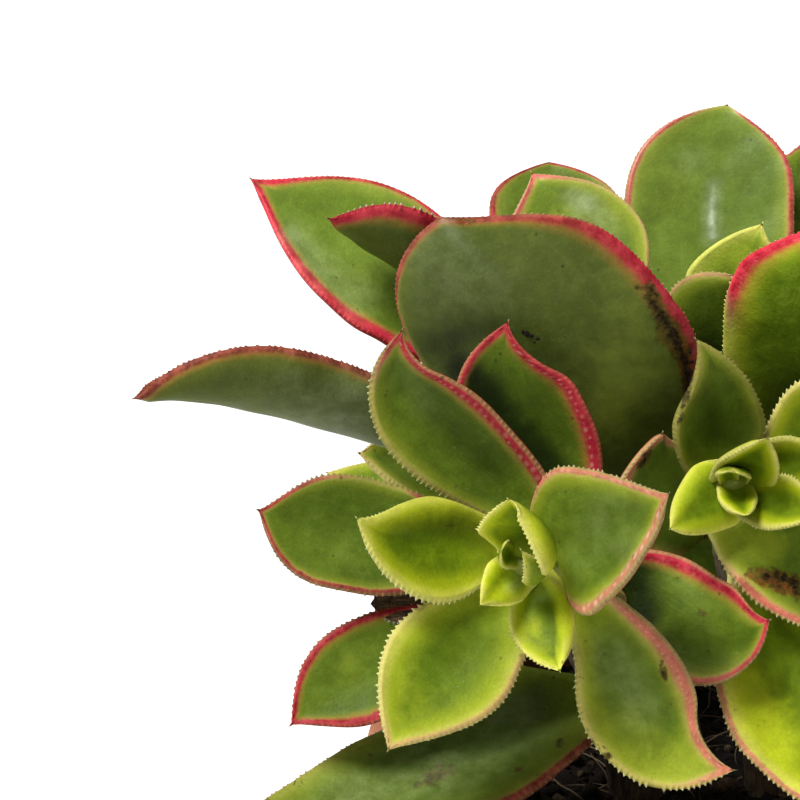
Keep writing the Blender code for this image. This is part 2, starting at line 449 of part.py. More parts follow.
CLAY = material("clay", (0.48, 0.21, 0.12), 0.85)
SOIL = material("soil", (0.035, 0.022, 0.015), 0.95)
STEM = material("young_leaf", (0.42, 0.50, 0.06), 0.45)
LEAF = material("leaf", (0.13, 0.24, 0.045), 0.42)


def mesh_object(name, verts, faces, mat, helper=False):
    mesh = bpy.data.meshes.new(name)
    mesh.from_pydata([(x * 0.001, y * 0.001, z * 0.001) for x, y, z in verts], [], faces)
    mesh.materials.append(mat)
    bm = bmesh.new()
    bm.from_mesh(mesh)
    bmesh.ops.triangulate(bm, faces=bm.faces[:], quad_method="SHORT_EDGE", ngon_method="BEAUTY")
    bm.to_mesh(mesh)
    bm.free()
    mesh.shade_smooth()
    mesh.set_sharp_from_angle(angle=math.radians(40))
    obj = bpy.data.objects.new(name, mesh)
    bpy.context.scene.collection.objects.link(obj)
    if helper:
        obj.hide_render = True
        obj.display_type = "WIRE"
    return obj


def join(obj, other, how):
    mod = obj.modifiers.new(other.name, "BOOLEAN")
    mod.operation = how
    mod.solver = "EXACT"
    mod.object = other


def pot():
    bm = bmesh.new()
    ring = [bm.verts.new((r * 0.001, 0.0, z * 0.001)) for r, z in POT_PROFILE]
    edges = [bm.edges.new((a, b)) for a, b in zip(ring, ring[1:])]
    bmesh.ops.spin(bm, geom=ring + edges, cent=(0, 0, 0), axis=(0, 0, 1), angle=2 * math.pi, steps=40, use_merge=True)
    bmesh.ops.remove_doubles(bm, verts=bm.verts[:], dist=1e-5)
    bmesh.ops.recalc_face_normals(bm, faces=bm.faces[:])
    mesh = bpy.data.meshes.new("pot")
    bm.to_mesh(mesh)
    bm.free()
    mesh.materials.append(CLAY)
    mesh.shade_smooth()
    mesh.set_sharp_from_angle(angle=math.radians(35))
    obj = bpy.data.objects.new("pot", mesh)
    bpy.context.scene.collection.objects.link(obj)
    for i in range(3):
        a = math.radians(90 + 120 * i)
        m = bpy.data.meshes.new(f"drain_{i + 1}")
        b = bmesh.new()
        bmesh.ops.create_cone(b, cap_ends=True, segments=14, radius1=DRAIN_RADIUS * 0.001, radius2=DRAIN_RADIUS * 0.001, depth=0.03)
        b.to_mesh(m)
        b.free()
        c = bpy.data.objects.new(f"drain_{i + 1}", m)
        c.location = (DRAIN_CIRCLE * 0.001 * math.cos(a), DRAIN_CIRCLE * 0.001 * math.sin(a), 0.0)
        c.hide_render = True
        c.display_type = "WIRE"
        bpy.context.scene.collection.objects.link(c)
        join(obj, c, "DIFFERENCE")
    return obj


pot()

soil = mesh_object("soil", *soil_solid(), SOIL)
for _k in STEMS:
    _run = STEMS[_k]["run"][-1]
    _socket = mesh_object(f"socket_{_k}", *stem_solid(_k, grow=CLEARANCE, upto=_run - STEM_DEPTH - 8.0), SOIL, helper=True)
    for _v in _socket.data.vertices:          # the socket is a little deeper than the stem
        if _v.co.z < (SOIL_LEVEL - STEM_DEPTH) * 0.001 + 1e-4:
            _v.co.z -= CLEARANCE * 0.001
    join(soil, _socket, "DIFFERENCE")

for _k in STEMS:
    _stem = mesh_object(f"stem_{_k}", *stem_solid(_k), STEM)
    for _i, _spec in enumerate(INNER[_k]):
        join(_stem, mesh_object(f"inner_{_k}{_i + 1}", *Blade(_spec).solid(INNER_T, INNER_S), STEM, helper=True), "UNION")

for _name, _spec in LEAVES.items():
    mesh_object(_name, *Blade(_spec).solid(LEAF_T, LEAF_S), LEAF)
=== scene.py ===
"""Looks of the potted aeonium: every leaf with its toothed margin, the hearts, stems, soil and pot."""
import math

import bmesh
import bpy
import numpy as np
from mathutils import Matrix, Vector


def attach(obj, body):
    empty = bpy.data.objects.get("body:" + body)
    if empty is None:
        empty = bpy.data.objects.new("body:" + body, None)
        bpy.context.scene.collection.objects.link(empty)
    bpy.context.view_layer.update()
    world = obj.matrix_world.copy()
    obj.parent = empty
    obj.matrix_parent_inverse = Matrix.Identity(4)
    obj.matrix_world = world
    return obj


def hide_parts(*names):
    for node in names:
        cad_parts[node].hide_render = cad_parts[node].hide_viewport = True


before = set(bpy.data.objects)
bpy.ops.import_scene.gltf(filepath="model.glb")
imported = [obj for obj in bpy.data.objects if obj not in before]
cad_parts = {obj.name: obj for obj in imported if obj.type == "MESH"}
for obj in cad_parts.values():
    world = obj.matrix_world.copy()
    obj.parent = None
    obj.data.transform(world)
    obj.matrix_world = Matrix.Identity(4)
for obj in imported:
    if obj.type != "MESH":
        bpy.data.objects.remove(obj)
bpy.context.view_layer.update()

# ---------------------------------------------------------------------------------------------------------------
# The plant's plan, the same as in the solid model, in mm

POT_HEIGHT = 83.0
RIM_RADIUS = 54.0          # outside of the rolled rim
RIM_HEIGHT = 17.0
POT_SHOULDER = 49.6        # outside of the wall just under the rim
POT_FOOT = 37.5            # outside of the wall at the base
POT_WALL = 4.6
POT_FLOOR = 6.0
DRAIN_RADIUS = 4.0
DRAIN_CIRCLE = 19.0
SOIL_LEVEL = 78.5
CLEARANCE = 0.35           # between pieces that meet

# === shape =====================================================================================================
# Plan of the plant. Positions are read off a front elevation that looks 18 degrees down: steps of 0.13 mm across
# and down, and a depth in mm towards the front. The elevation has a little perspective, from 600 mm away.

TILT = math.radians(18.0)
RIGHT = np.array([1.0, 0.0, 0.0])
UP = np.array([0.0, math.sin(TILT), math.cos(TILT)])
BACK = np.array([0.0, -math.cos(TILT), math.sin(TILT)])
STEP = 0.13
DIST = 600.0
REF = np.array([-49.4, 0.0, 129.9])


def at(px, py, d):
    """Point of the plan, in mm."""
    k = STEP * (1.0 - d / DIST)
    return REF + (px - 400.0) * k * RIGHT + (400.0 - py) * k * UP + d * BACK


def turned(x, y, b):
    """Direction given as right, up and towards the front of the elevation."""
    return unit(x * RIGHT + y * UP + b * BACK)


def unit(v):
    return v / np.linalg.norm(v)


def bezier(p, t):
    t = np.asarray(t)[:, None]
    u = 1.0 - t
    return u**3 * p[0] + 3 * u * u * t * p[1] + 3 * u * t * t * p[2] + t**3 * p[3]


def bezier_slope(p, t):
    t = np.asarray(t)[:, None]
    u = 1.0 - t
    return 3 * u * u * (p[1] - p[0]) + 6 * u * t * (p[2] - p[1]) + 3 * t * t * (p[3] - p[2])


# Stems: crown (plan point), the way the rosette faces, where the stem leaves the soil (x, y), its radius, and how
# far the stem keeps the rosette's direction before it turns down.
STEMS = {
    "a": dict(crown=at(520, 561, 28), axis=turned(-0.20, 0.12, 0.97), root=(-17.0, -8.0), r=3.4, lean=26.0, rise=16.0),
    "b": dict(crown=at(735, 482, 19), axis=turned(0.05, 0.15, 0.98), root=(0.0, -9.0), r=2.9, lean=22.0, rise=18.0),
    "c": dict(crown=at(548, 335, -5), axis=turned(-0.10, 0.90, 0.42), root=(-12.0, 8.0), r=3.8, lean=26.0, rise=16.0),
    "d": dict(crown=at(750, 350, -26), axis=turned(0.05, 0.93, 0.35), root=(4.0, 15.0), r=3.8, lean=26.0, rise=16.0),
    "e": dict(crown=np.array([30.0, -26.0, 118.0]), axis=unit(np.array([0.38, -0.62, 0.68])), root=(14.0, -6.0), r=3.6, lean=22.0, rise=14.0),
    "f": dict(crown=np.array([-36.0, 36.0, 112.0]), axis=unit(np.array([-0.52, 0.50, 0.70])), root=(-12.0, 21.0), r=3.4, lean=18.0, rise=12.0),
    "g": dict(crown=np.array([30.0, 34.0, 121.0]), axis=unit(np.array([0.42, 0.46, 0.78])), root=(16.0, 17.0), r=3.6, lean=20.0, rise=14.0),
}
STEM_DEPTH = 12.0          # how far a stem goes into the soil

for _s in STEMS.values():
    _root = np.array([_s["root"][0], _s["root"][1], SOIL_LEVEL - STEM_DEPTH])
    _p = np.array([_root, _root + np.array([0.0, 0.0, STEM_DEPTH + _s["rise"]]), _s["crown"] - _s["lean"] * _s["axis"], _s["crown"]])
    _t = np.linspace(1.0, 0.0, 400)
    _q = bezier(_p, _t)
    _s["line"] = _q
    _s["slope"] = bezier_slope(_p, _t)
    _s["run"] = np.concatenate([[0.0], np.cumsum(np.linalg.norm(np.diff(_q, axis=0), axis=1))])


def stem_point(name, h):
    """Point, upward direction and radius of a stem, h mm down from its crown."""
    s = STEMS[name]
    h = min(max(h, 0.0), s["run"][-1])
    p = np.array([np.interp(h, s["run"], s["line"][:, i]) for i in range(3)])
    d = unit(np.array([np.interp(h, s["run"], s["slope"][:, i]) for i in range(3)]))
    return p, d, stem_radius(s["r"], h)


def stem_radius(r, h):
    return r * (1.0 - 0.74 * math.exp(-h / 3.0)) + 0.012 * h


def around(name, h, turn, rise):
    """Direction out of a stem: turn degrees round it from the right, rise degrees up from square to it."""
    _, d, _ = stem_point(name, h)
    u = unit(RIGHT - (RIGHT @ d) * d)
    v = np.cross(d, u)
    a, e = math.radians(turn), math.radians(rise)
    out = math.cos(a) * u + math.sin(a) * v
    return math.cos(e) * out + math.sin(e) * d, math.cos(e) * d - math.sin(e) * out


# Leaves. h is how far down the stem the leaf grows, tip its point on the plan, w its width. face is the way the
# upper side looks (the rosette's own direction if not given). dip and lift are the angles, in degrees, by which the
# midrib leaves the straight line at its base and at its tip: both positive make a spoon, a negative lift a
# recurved tip. sway0 and sway1 do the same sideways, or via gives two points of the plan that the midrib passes
# over. cup is how far round each side curls, left and right as seen from above with the tip away, fold a V along
# the midrib, twist and roll turn the blade, in degrees.
LEAVES = {}


def leaf(name, stem, h, tip, w, **more):
    LEAVES[name] = dict(stem=stem, h=h, tip=at(*tip), w=w, **more)


def leaf_polar(name, stem, h, turn, rise, length, w, **more):
    """A leaf given by its direction out of the stem instead of its tip."""
    p, _, r = stem_point(stem, h)
    flat, _ = around(stem, h, turn, 0.0)
    out, face = around(stem, h, turn, rise)
    LEAVES[name] = dict(stem=stem, h=h, tip=p + (r + 2.4 * CLEARANCE) * flat + length * out, w=w, face=face, **more)


# rosette a, front left
leaf("leaf_a03", "a", 5.0, (669, 493, 38), 20.0, via=((578, 541), (628, 519)), face=turned(-0.45, 0.05, 0.9), dip=20, lift=16, cup=(0.35, 0.35), broad=0.38, neck=(0.55, 0.28), sharp=(1.45, 1.45), halves=(0.97, 0.98))
leaf("leaf_a01", "a", 6.5, (357, 518, 29), 14.6, via=((455, 549), (405, 543)), face=turned(0.25, 0.1, 0.95), dip=14, lift=16, cup=(0.55, 0.55), broad=0.5, neck=0.58, sharp=1.9)
leaf("leaf_a02", "a", 8.9, (388, 750, 30), 17.0, via=((470, 645), (425, 696)), face=turned(0.1, 0.35, 0.93), dip=16, lift=14, cup=(0.5, 0.5), broad=0.5, neck=0.58)
leaf("leaf_a10", "a", 10.5, (402, 330, 22), 13.5, via=((499, 479), (420, 413)), face=turned(0.3, -0.25, 0.92), dip=12, lift=14, cup=(0.5, 0.8))
leaf("leaf_a08", "a", 11.0, (735, 770, 23.5), 15.2, via=((619, 660), (655, 736)), face=turned(-0.2, 0.3, 0.93), dip=12, lift=10, cup=(0.5, 0.6), broad=0.55)
leaf("leaf_a09", "a", 16.0, (769, 620, 18.5), 16.0, via=((643, 577, 11.5), (704, 614, 15)), face=turned(-0.1, 0.1, 0.98), dip=12, lift=10, cup=(0.5, 0.75), fold=-0.28, halves=(0.64, 1.24), broad=0.68, neck=(0.38, 0.3), sharp=2.6, off=0.8)
leaf("leaf_a11", "a", 15.0, (508, 322, 16), 17.5, via=((552, 468), (514, 400)), face=turned(0.1, -0.3, 0.95), dip=12, lift=12, cup=(0.5, 0.5), sharp=(2.2, 1.7), halves=(1.0, 0.92))
leaf("leaf_a12", "a", 16.0, (258, 510, 12), 16.0, via=((430, 550), (335, 534)), face=turned(0.2, 0.25, 0.95), dip=10, lift=8, cup=(0.45, 0.45), broad=0.64, sharp=2.4)
leaf("leaf_a13", "a", 18.5, (291, 725, 13), 13.5, via=((440, 648), (357, 683)), face=turned(0.15, 0.35, 0.92), dip=10, lift=8, cup=(0.5, 0.5), halves=(0.95, 1.13), sharp=2.3)
leaf("leaf_a14", "a", 33.5, (205, 850, 20), 23.0, via=((492, 757), (350, 812)), face=turned(0.2, 0.85, 0.5), dip=6, lift=-4, cup=(0.35, 0.35), broad=0.42, neck=0.8, halves=(0.84, 1.0), off=0.4)

# rosette b, front middle
leaf("leaf_b06", "b", 6.5, (696, 339, 18), 13.0, via=((716, 430), (718, 386)), face=turned(0.2, -0.1, 0.97), dip=14, lift=10, cup=(0.4, 0.4), broad=0.40, neck=0.68, sharp=(1.7, 1.3))
leaf("leaf_b07", "b", 7.4, (835, 638, 17), 14.5, via=((770, 548, 14.5), (803, 592, 16)), face=turned(-0.1, 0.3, 0.94), dip=14, lift=12, cup=(0.45, 0.4), broad=0.36, neck=(0.5, 0.9), halves=(1.0, 0.9), off=0.6)
leaf("leaf_b09", "b", 17.0, (663, 433, 11), 16.0, via=((694, 518, 4), (672, 478, 7)), face=turned(0.25, 0.1, 0.95), dip=12, lift=10, cup=(0.3, 0.4), broad=0.6, halves=(1.38, 0.5), sharp=(3.4, 2.4))
leaf("leaf_b10", "b", 16.0, (900, 470, 4), 15.0, face=turned(-0.2, 0.0, 0.95), dip=12, lift=8, cup=(0.4, 0.4))
leaf("leaf_b08", "b", 19.5, (888, 842, 20), 21.0, via=((772, 637), (813, 730)), face=turned(0.0, 0.5, 0.85), dip=10, lift=6, cup=(0.4, 0.4), neck=0.32)
leaf("leaf_b11", "b", 9.0, (880, 395, 14), 16.0, face=turned(-0.25, -0.1, 0.95), dip=12, lift=10, cup=(0.4, 0.4))
leaf("leaf_b12", "b", 12.8, (905, 560, 10), 16.0, face=turned(-0.25, 0.1, 0.95), dip=12, lift=8, cup=(0.4, 0.4))

# rosette c, back left
leaf("leaf_c04", "c", 7.3, (328, 218, 4), 16.0, via=((452, 292), (388, 241)), face=turned(0.3, 0.85, -0.4), dip=14, lift=6, cup=(0.6, 0.6), off=0.5)
leaf("leaf_c05", "c", 8.0, (532, 173, -22), 21.0, via=((576, 300), (566, 234)), face=turned(0.1, 0.3, 0.95), dip=16, lift=10, cup=(0.4, 0.4), sharp=(2.4, 1.85), halves=(0.98, 1.05))
leaf("leaf_c03", "c", 12.0, (250, 178, -8), 22.0, via=((446, 309), (353, 241)), face=turned(0.3, 0.5, 0.8), dip=14, lift=6, cup=(0.4, 0.4), broad=0.55, sharp=(2.6, 2.2), halves=(1.28, 0.95))
leaf("leaf_c06", "c", 13.0, (549, 162, -30), 21.5, via=((562, 300), (556, 225)), face=turned(0.0, 0.3, 0.95), dip=16, lift=8, cup=(0.35, 0.35), sharp=(5.5, 3.4), halves=(0.86, 0.90))
leaf("leaf_c01", "c", 20.0, (441, 217, 16), 34.0, via=((575, 400), (500, 305)), face=turned(0.25, 0.15, -0.95), dip=24, lift=14, cup=(0.35, 0.35), broad=0.42, neck=0.4, sharp=(3.4, 4.2), halves=(1.085, 0.9))
leaf("leaf_c11", "c", 17.0, (132, 399, 6), 22.0, via=((385, 432), (245, 398)), face=turned(0.05, 0.98, -0.2), dip=10, lift=-8, cup=(1.3, 1.3))
leaf("leaf_c07", "c", 15.2, (674, 345, -16), 16.0, face=turned(-0.3, 0.8, 0.4), dip=14, lift=10, cup=(0.45, 0.45), neck=0.3)
leaf("leaf_c08", "c", 15.5, (606, 250, -53), 15.8, face=turned(-0.2, 0.9, 0.4), dip=14, lift=8, cup=(0.4, 0.4), neck=0.3)
leaf("leaf_c09", "c", 20.5, (440, 268, -46), 19.0, face=turned(0.2, 0.9, 0.4), dip=12, lift=6, cup=(0.4, 0.4), neck=0.3)

# rosette d, back right
leaf("leaf_d02", "d", 5.5, (762, 224, -28), 15.0, via=((730, 330), (740, 272)), face=turned(-0.2, 0.3, 0.93), dip=16, lift=10, cup=(0.5, 0.5), sharp=(1.4, 2.0), halves=(0.95, 1.0))
leaf("leaf_d04", "d", 8.0, (735, 275, -12), 16.0, via=((735, 365), (722, 317)), face=turned(0.1, 0.3, -0.95), dip=18, lift=10, cup=(0.5, 0.5), neck=0.3, sharp=(2.0, 3.0), halves=(1.0, 1.04))
leaf("leaf_d01", "d", 9.5, (727, 105, -46), 24.5, via=((716, 295), (713, 190)), face=turned(0.0, 0.35, 0.94), dip=16, lift=6, cup=(0.4, 0.4), broad=0.55, sharp=(2.25, 3.1), halves=(1.05, 0.96))
leaf("leaf_d03", "d", 12.8, (838, 118, -50), 24.0, face=turned(-0.2, 0.3, 0.93), dip=16, lift=6, cup=(0.35, 0.35), neck=0.3)
leaf("leaf_d05", "d", 14.2, (850, 212, 2), 30.0, via=((800, 370), (832, 300)), face=turned(0.0, 0.1, -1.0), dip=30, lift=14, cup=(0.35, 0.35), neck=0.4, sharp=(2.0, 2.8), halves=(1.0, 0.90))
leaf("leaf_d06", "d", 15.5, (745, 205, -70), 22.0, face=turned(0.0, 0.9, 0.4), dip=14, lift=8, cup=(0.4, 0.4))
leaf("leaf_d07", "d", 17.0, (908, 330, -25), 17.0, face=turned(-0.4, 0.8, 0.4), dip=14, lift=10, cup=(0.45, 0.45))
leaf("leaf_d08", "d", 19.0, (686, 285, -66), 20.0, face=turned(0.2, 0.9, 0.3), dip=12, lift=6, cup=(0.4, 0.4))

# rosette e, front right
for _i, (_h, _turn, _rise, _l, _w) in enumerate((
        (7.4, 30, 40, 29, 17.5), (9.2, 168, 44, 27, 17.0), (11.0, 305, 30, 33, 19.0), (12.8, 82, 26, 34, 19.5),
        (14.8, 248, 18, 35, 20.0), (17.0, 352, 9, 39, 21.0))):
    leaf_polar(f"leaf_e{_i + 1:02d}", "e", _h, _turn, _rise, _l, _w, dip=16, lift=12, cup=(0.45, 0.45))

# rosette f, back left, low
leaf("leaf_f01", "f", 11.0, (326, 472, -40), 15.0, face=turned(0.3, 0.75, 0.6), dip=12, lift=8, cup=(0.4, 0.4))
leaf("leaf_f02", "f", 7.0, (359, 453, -24), 14.0, face=turned(0.3, 0.7, 0.6), dip=14, lift=10, cup=(0.4, 0.4))
for _i, (_h, _turn, _rise, _l, _w) in enumerate(((7.4, 50, 42, 25, 16.0), (9.6, 112, 28, 28, 17.5), (13.5, 70, 10, 34, 19.5))):
    leaf_polar(f"leaf_f{_i + 3:02d}", "f", _h, _turn, _rise, _l, _w, dip=16, lift=12, cup=(0.45, 0.45))

# rosette g, back right
for _i, (_h, _turn, _rise, _l, _w) in enumerate((
        (7.4, 75, 38, 28, 17.5), (8.8, 222, 60, 21, 14.5), (10.8, 335, 30, 32, 19.0), (12.8, 118, 24, 34, 20.0),
        (15.2, 25, 16, 37, 21.0), (17.4, 70, 3, 39, 22.0))):
    leaf_polar(f"leaf_g{_i + 1:02d}", "g", _h, _turn, _rise, _l, _w, dip=16, lift=12, cup=(0.45, 0.45))

# Inner leaves, which stay on their stem
INNER = {}


def inner(stem, h, tip, w, **more):
    INNER.setdefault(stem, []).append(dict(stem=stem, h=h, tip=at(*tip), w=w, sunk=True, **more))


inner("a", 3.6, (560, 671, 34), 10.4, via=((550, 597), (556, 638)), face=turned(-0.30, 0.5, 0.85), dip=16, lift=10, cup=(2.5, 0.3), th=1.25, broad=0.5, neck=0.55, halves=(1.18, 1.12))
inner("a", 3.0, (508, 499, 37), 12.0, base=(531, 556, 28), via=((531, 534), (521, 515)), face=turned(-0.32, -0.3, 0.92), dip=14, lift=12, cup=(0.25, 2.3), th=1.3, broad=0.40, neck=0.62, sharp=1.7, halves=(1.15, 1.32))
inner("a", 2.4, (480, 605, 36), 7.0, face=turned(0.3, 0.35, 0.9), dip=16, lift=12, cup=(0.5, 0.5), th=1.6, broad=0.30, neck=0.85, sharp=1.25)
inner("a", 1.4, (521, 550, 36), 4.4, base=(539, 577, 30.5), face=turned(-0.5, 0.5, -0.6), dip=24, lift=18, cup=(0.7, 0.7), th=1.4, broad=0.2, neck=0.9, sharp=1.1)
inner("a", 1.0, (502, 551, 35), 3.6, face=turned(0.5, 0.0, 0.85), dip=16, lift=16, cup=(0.5, 0.5), th=1.4, neck=0.7)
inner("b", 3.4, (670, 529, 24), 10.8, via=((713, 499), (688, 517)), face=turned(0.3, 0.2, 0.93), dip=18, lift=12, cup=(0.3, 0.4), th=1.9, broad=0.26, neck=0.75, sharp=1.6, halves=(0.88, 0.98))
inner("b", 3.8, (838, 456, 26), 7.5, via=((765, 467), (800, 461)), face=turned(-0.3, -0.1, 0.93), dip=18, lift=12, cup=(0.6, 0.6), fold=0.15, th=1.8, neck=0.6)
inner("b", 3.1, (820, 518, 27), 8.0, via=((762, 503), (790, 508)), face=turned(-0.3, 0.3, 0.9), dip=18, lift=12, cup=(0.6, 0.6), fold=0.15, th=1.8, neck=0.6)
inner("b", 2.4, (768, 438, 29), 9.2, via=((747, 466), (759, 451)), face=turned(-0.1, -0.3, 0.93), dip=20, lift=16, cup=(1.1, 0.5), th=1.6, broad=0.3, neck=0.85, sharp=1.8)
inner("b", 1.7, (747, 515, 27), 5.6, face=turned(0.0, 0.4, 0.9), dip=18, lift=16, cup=(0.6, 0.6), th=1.5, broad=0.25, neck=0.85, sharp=1.6)
inner("b", 1.0, (728, 472, 25), 3.4, base=(729, 486, 17), face=turned(0.1, -0.5, -0.7), dip=24, lift=20, cup=(0.5, 0.5), th=1.5, neck=0.7)
inner("b", 0.8, (739, 474, 25), 2.8, base=(739, 485, 17), face=turned(-0.1, -0.5, -0.7), dip=24, lift=20, cup=(0.5, 0.5), th=1.4, neck=0.7)
inner("c", 30.0, (736, 574, -24), 17.0, face=turned(0.0, 0.55, 0.83), dip=14, lift=10, cup=(0.35, 0.35), th=2.0, neck=0.5, old=True)
for _k, _n, _start, _long in (("c", 8, 5.0, 14.0), ("d", 8, 225.0, 13.0), ("e", 10, -60.0, 21.0), ("f", 9, 253.0, 17.0), ("g", 10, 10.0, 21.0)):
    for _i in range(_n):
        _h = 5.4 - 4.6 * _i / (_n - 1)
        _l = 4.5 + (_long - 4.5) * (1.0 - _i / (_n - 1)) ** 1.25
        _out, _face = around(_k, _h, _start + 137.5 * _i, 42.0 + 32.0 * _i / (_n - 1))
        INNER.setdefault(_k, []).append(dict(stem=_k, h=_h, tip=stem_point(_k, _h)[0] + _l * _out, w=0.62 * _l + 1.0, face=_face, sunk=True,
                                             dip=18, lift=14, cup=(0.6, 0.6), fold=0.12, th=1.9 - 0.6 * _i / (_n - 1)))


class Blade:
    """One leaf as a surface: a midrib, a width along it, and a rounded section across it."""

    def __init__(self, spec):
        g = spec.get
        p, d, r = stem_point(g("stem"), g("h"))
        tip = g("tip")
        out = (tip - p) - ((tip - p) @ d) * d
        out = unit(out) if np.linalg.norm(out) > 1e-6 else unit(np.cross(d, RIGHT))
        steep = max(0.0, unit(tip - p) @ d)
        base = p + out * ((0.25 * r) if g("sunk") else (r + 2.4 * CLEARANCE + 1.2 * steep + g("off", 0.0)))
        if g("base") is not None:
            base = at(*g("base"))
        chord = tip - base
        self.length = np.linalg.norm(chord)
        c = chord / self.length
        face = g("face", STEMS[g("stem")]["axis"])
        n = unit(face - (face @ c) * c)
        side = np.cross(c, n)
        a0, a1 = math.radians(g("dip", 0.0)), math.radians(g("lift", 0.0))
        b0, b1 = math.radians(g("sway0", 0.0)), math.radians(g("sway1", 0.0))
        k = 0.37 * self.length
        self.p = np.array([base,
                           base + k * (c - n * math.tan(a0) + side * math.tan(b0)),
                           tip - k * (c + n * math.tan(a1) + side * math.tan(b1)),
                           tip])
        if g("via"):
            # the midrib passes over two points of the plan, a third and two thirds along, at the depth it has there
            ts = np.array([0.34, 0.68])
            q = bezier(self.p, ts)
            want = [at(*v, (q[i] - REF) @ BACK) if len(v) == 2 else at(*v) for i, v in enumerate(g("via"))]
            m = np.array([[3 * (1 - t) ** 2 * t, 3 * (1 - t) * t * t] for t in ts])
            rest = np.array([want[i] - (1 - t) ** 3 * base - t**3 * tip for i, t in enumerate(ts)])
            self.p[1:3] = np.linalg.solve(m, rest)
        self.n = n
        self.w = g("w")
        self.cup = g("cup", (0.4, 0.4))
        self.fold = g("fold", 0.0)
        self.twist = math.radians(g("twist", 0.0))
        self.roll = math.radians(g("roll", 0.0))
        self.thick = g("th", 2.7)
        self.broad = g("broad", 0.60)      # where along the leaf it is widest
        self.neck = g("neck", 0.36)        # width at the base, as a share of the full width; one value, or left and right
        self.sharp = g("sharp", 2.0)       # 1.5 a long point, 2.5 a blunt end; one value, or left and right
        if not isinstance(self.sharp, tuple):
            self.sharp = (self.sharp, self.sharp)
        if not isinstance(self.neck, tuple):
            self.neck = (self.neck, self.neck)
        self.halves = g("halves", (1.0, 1.0))

    def half_width(self, t, s=1.0):
        t = np.asarray(t, float)
        neck = self.neck[0] if s < 0 else self.neck[1]
        lo = neck + (1.0 - neck) * np.sin(0.5 * math.pi * np.clip(t / self.broad, 0, 1)) ** 1.35
        u = np.clip((t - self.broad) / (1.0 - self.broad), 0, 1)
        hi = 1.0 - u ** (self.sharp[0] if s < 0 else self.sharp[1])
        return 0.5 * self.w * np.where(t < self.broad, lo, hi)

    def thickness(self, t):
        t = np.asarray(t, float)
        lo = 0.74 + 0.26 * np.sin(0.5 * math.pi * np.clip(t / 0.33, 0, 1))
        hi = 0.40 + 0.60 * np.cos(0.5 * math.pi * np.clip((t - 0.33) / 0.67, 0, 1))
        return self.thick * np.where(t < 0.33, lo, hi)

    def frame(self, t):
        """Points, tangents, face normals and side directions along the midrib."""
        t = np.asarray(t, float)
        pos = bezier(self.p, t)
        tan = bezier_slope(self.p, t)
        tan /= np.linalg.norm(tan, axis=1)[:, None]
        nor = self.n[None, :] - (tan @ self.n)[:, None] * tan
        nor /= np.linalg.norm(nor, axis=1)[:, None]
        side = np.cross(tan, nor)
        a = (self.roll + self.twist * t)[:, None]
        return pos, tan, np.cos(a) * nor + np.sin(a) * side, np.cos(a) * side - np.sin(a) * nor

    def surface(self, t, s):
        """Middle surface and its normal on the grid t by s; s runs from -1, the left margin, to 1."""
        t, s = np.asarray(t, float), np.asarray(s, float)
        pos, _, nor, side = self.frame(t)
        th = self.thickness(t)[:, None]
        right = s[None, :] > 0
        h = np.where(right, self.half_width(t, 1.0)[:, None] * self.halves[1], self.half_width(t, -1.0)[:, None] * self.halves[0])
        cup = np.where(right, self.cup[1], self.cup[0])
        cup = np.sign(cup) * np.minimum(np.maximum(np.abs(cup), 1e-3), np.maximum(h, 1e-3) / (1.5 * th))
        ang = cup * s[None, :]
        x = h * np.sin(ang) / cup
        z = h * (1.0 - np.cos(ang)) / cup + h * self.fold * (np.sqrt(s * s + 0.03) - math.sqrt(0.03))[None, :]
        dx = h * np.cos(ang)
        dz = h * np.sin(ang) + h * self.fold * (s / np.sqrt(s * s + 0.03))[None, :]
        ln = np.sqrt(dx * dx + dz * dz) + 1e-9
        nx, nz = -dz / ln, dx / ln
        mid = pos[:, None, :] + x[..., None] * side[:, None, :] + z[..., None] * nor[:, None, :]
        nrm = nx[..., None] * side[:, None, :] + nz[..., None] * nor[:, None, :]
        return mid, nrm

    def solid(self, t, s, up=0.36, down=0.64):
        """Closed mesh of the leaf: rings at t, a point at the tip. s is symmetric and holds -1 and 1."""
        mid, nrm = self.surface(t, s)
        q = (1.0 - np.abs(s) ** 2.4) ** 0.75
        th = self.thickness(t)[:, None] * np.minimum(1.0, self.half_width(t)[:, None] / 2.2)
        top = mid + (up * th * q[None, :])[..., None] * nrm
        bottom = mid - (down * th * q[None, :])[..., None] * nrm
        ring = np.concatenate([top, bottom[:, -2:0:-1]], axis=1)
        n, m = ring.shape[:2]
        verts = ring.reshape(-1, 3).tolist() + [self.p[3].tolist()]
        faces = [tuple(reversed(range(m)))]
        for i in range(n - 1):
            for j in range(m):
                k = (j + 1) % m
                faces.append((i * m + j, i * m + k, (i + 1) * m + k, (i + 1) * m + j))
        for j in range(m):
            faces.append(((n - 1) * m + j, (n - 1) * m + (j + 1) % m, n * m))
        return verts, faces


LEAF_T = np.array([0.0, 0.16, 0.34, 0.54, 0.73, 0.88, 0.965])
LEAF_S = np.array([-1.0, -0.62, 0.0, 0.62, 1.0])
INNER_T = np.array([0.0, 0.3, 0.58, 0.84])
INNER_S = np.array([-1.0, 0.0, 1.0])


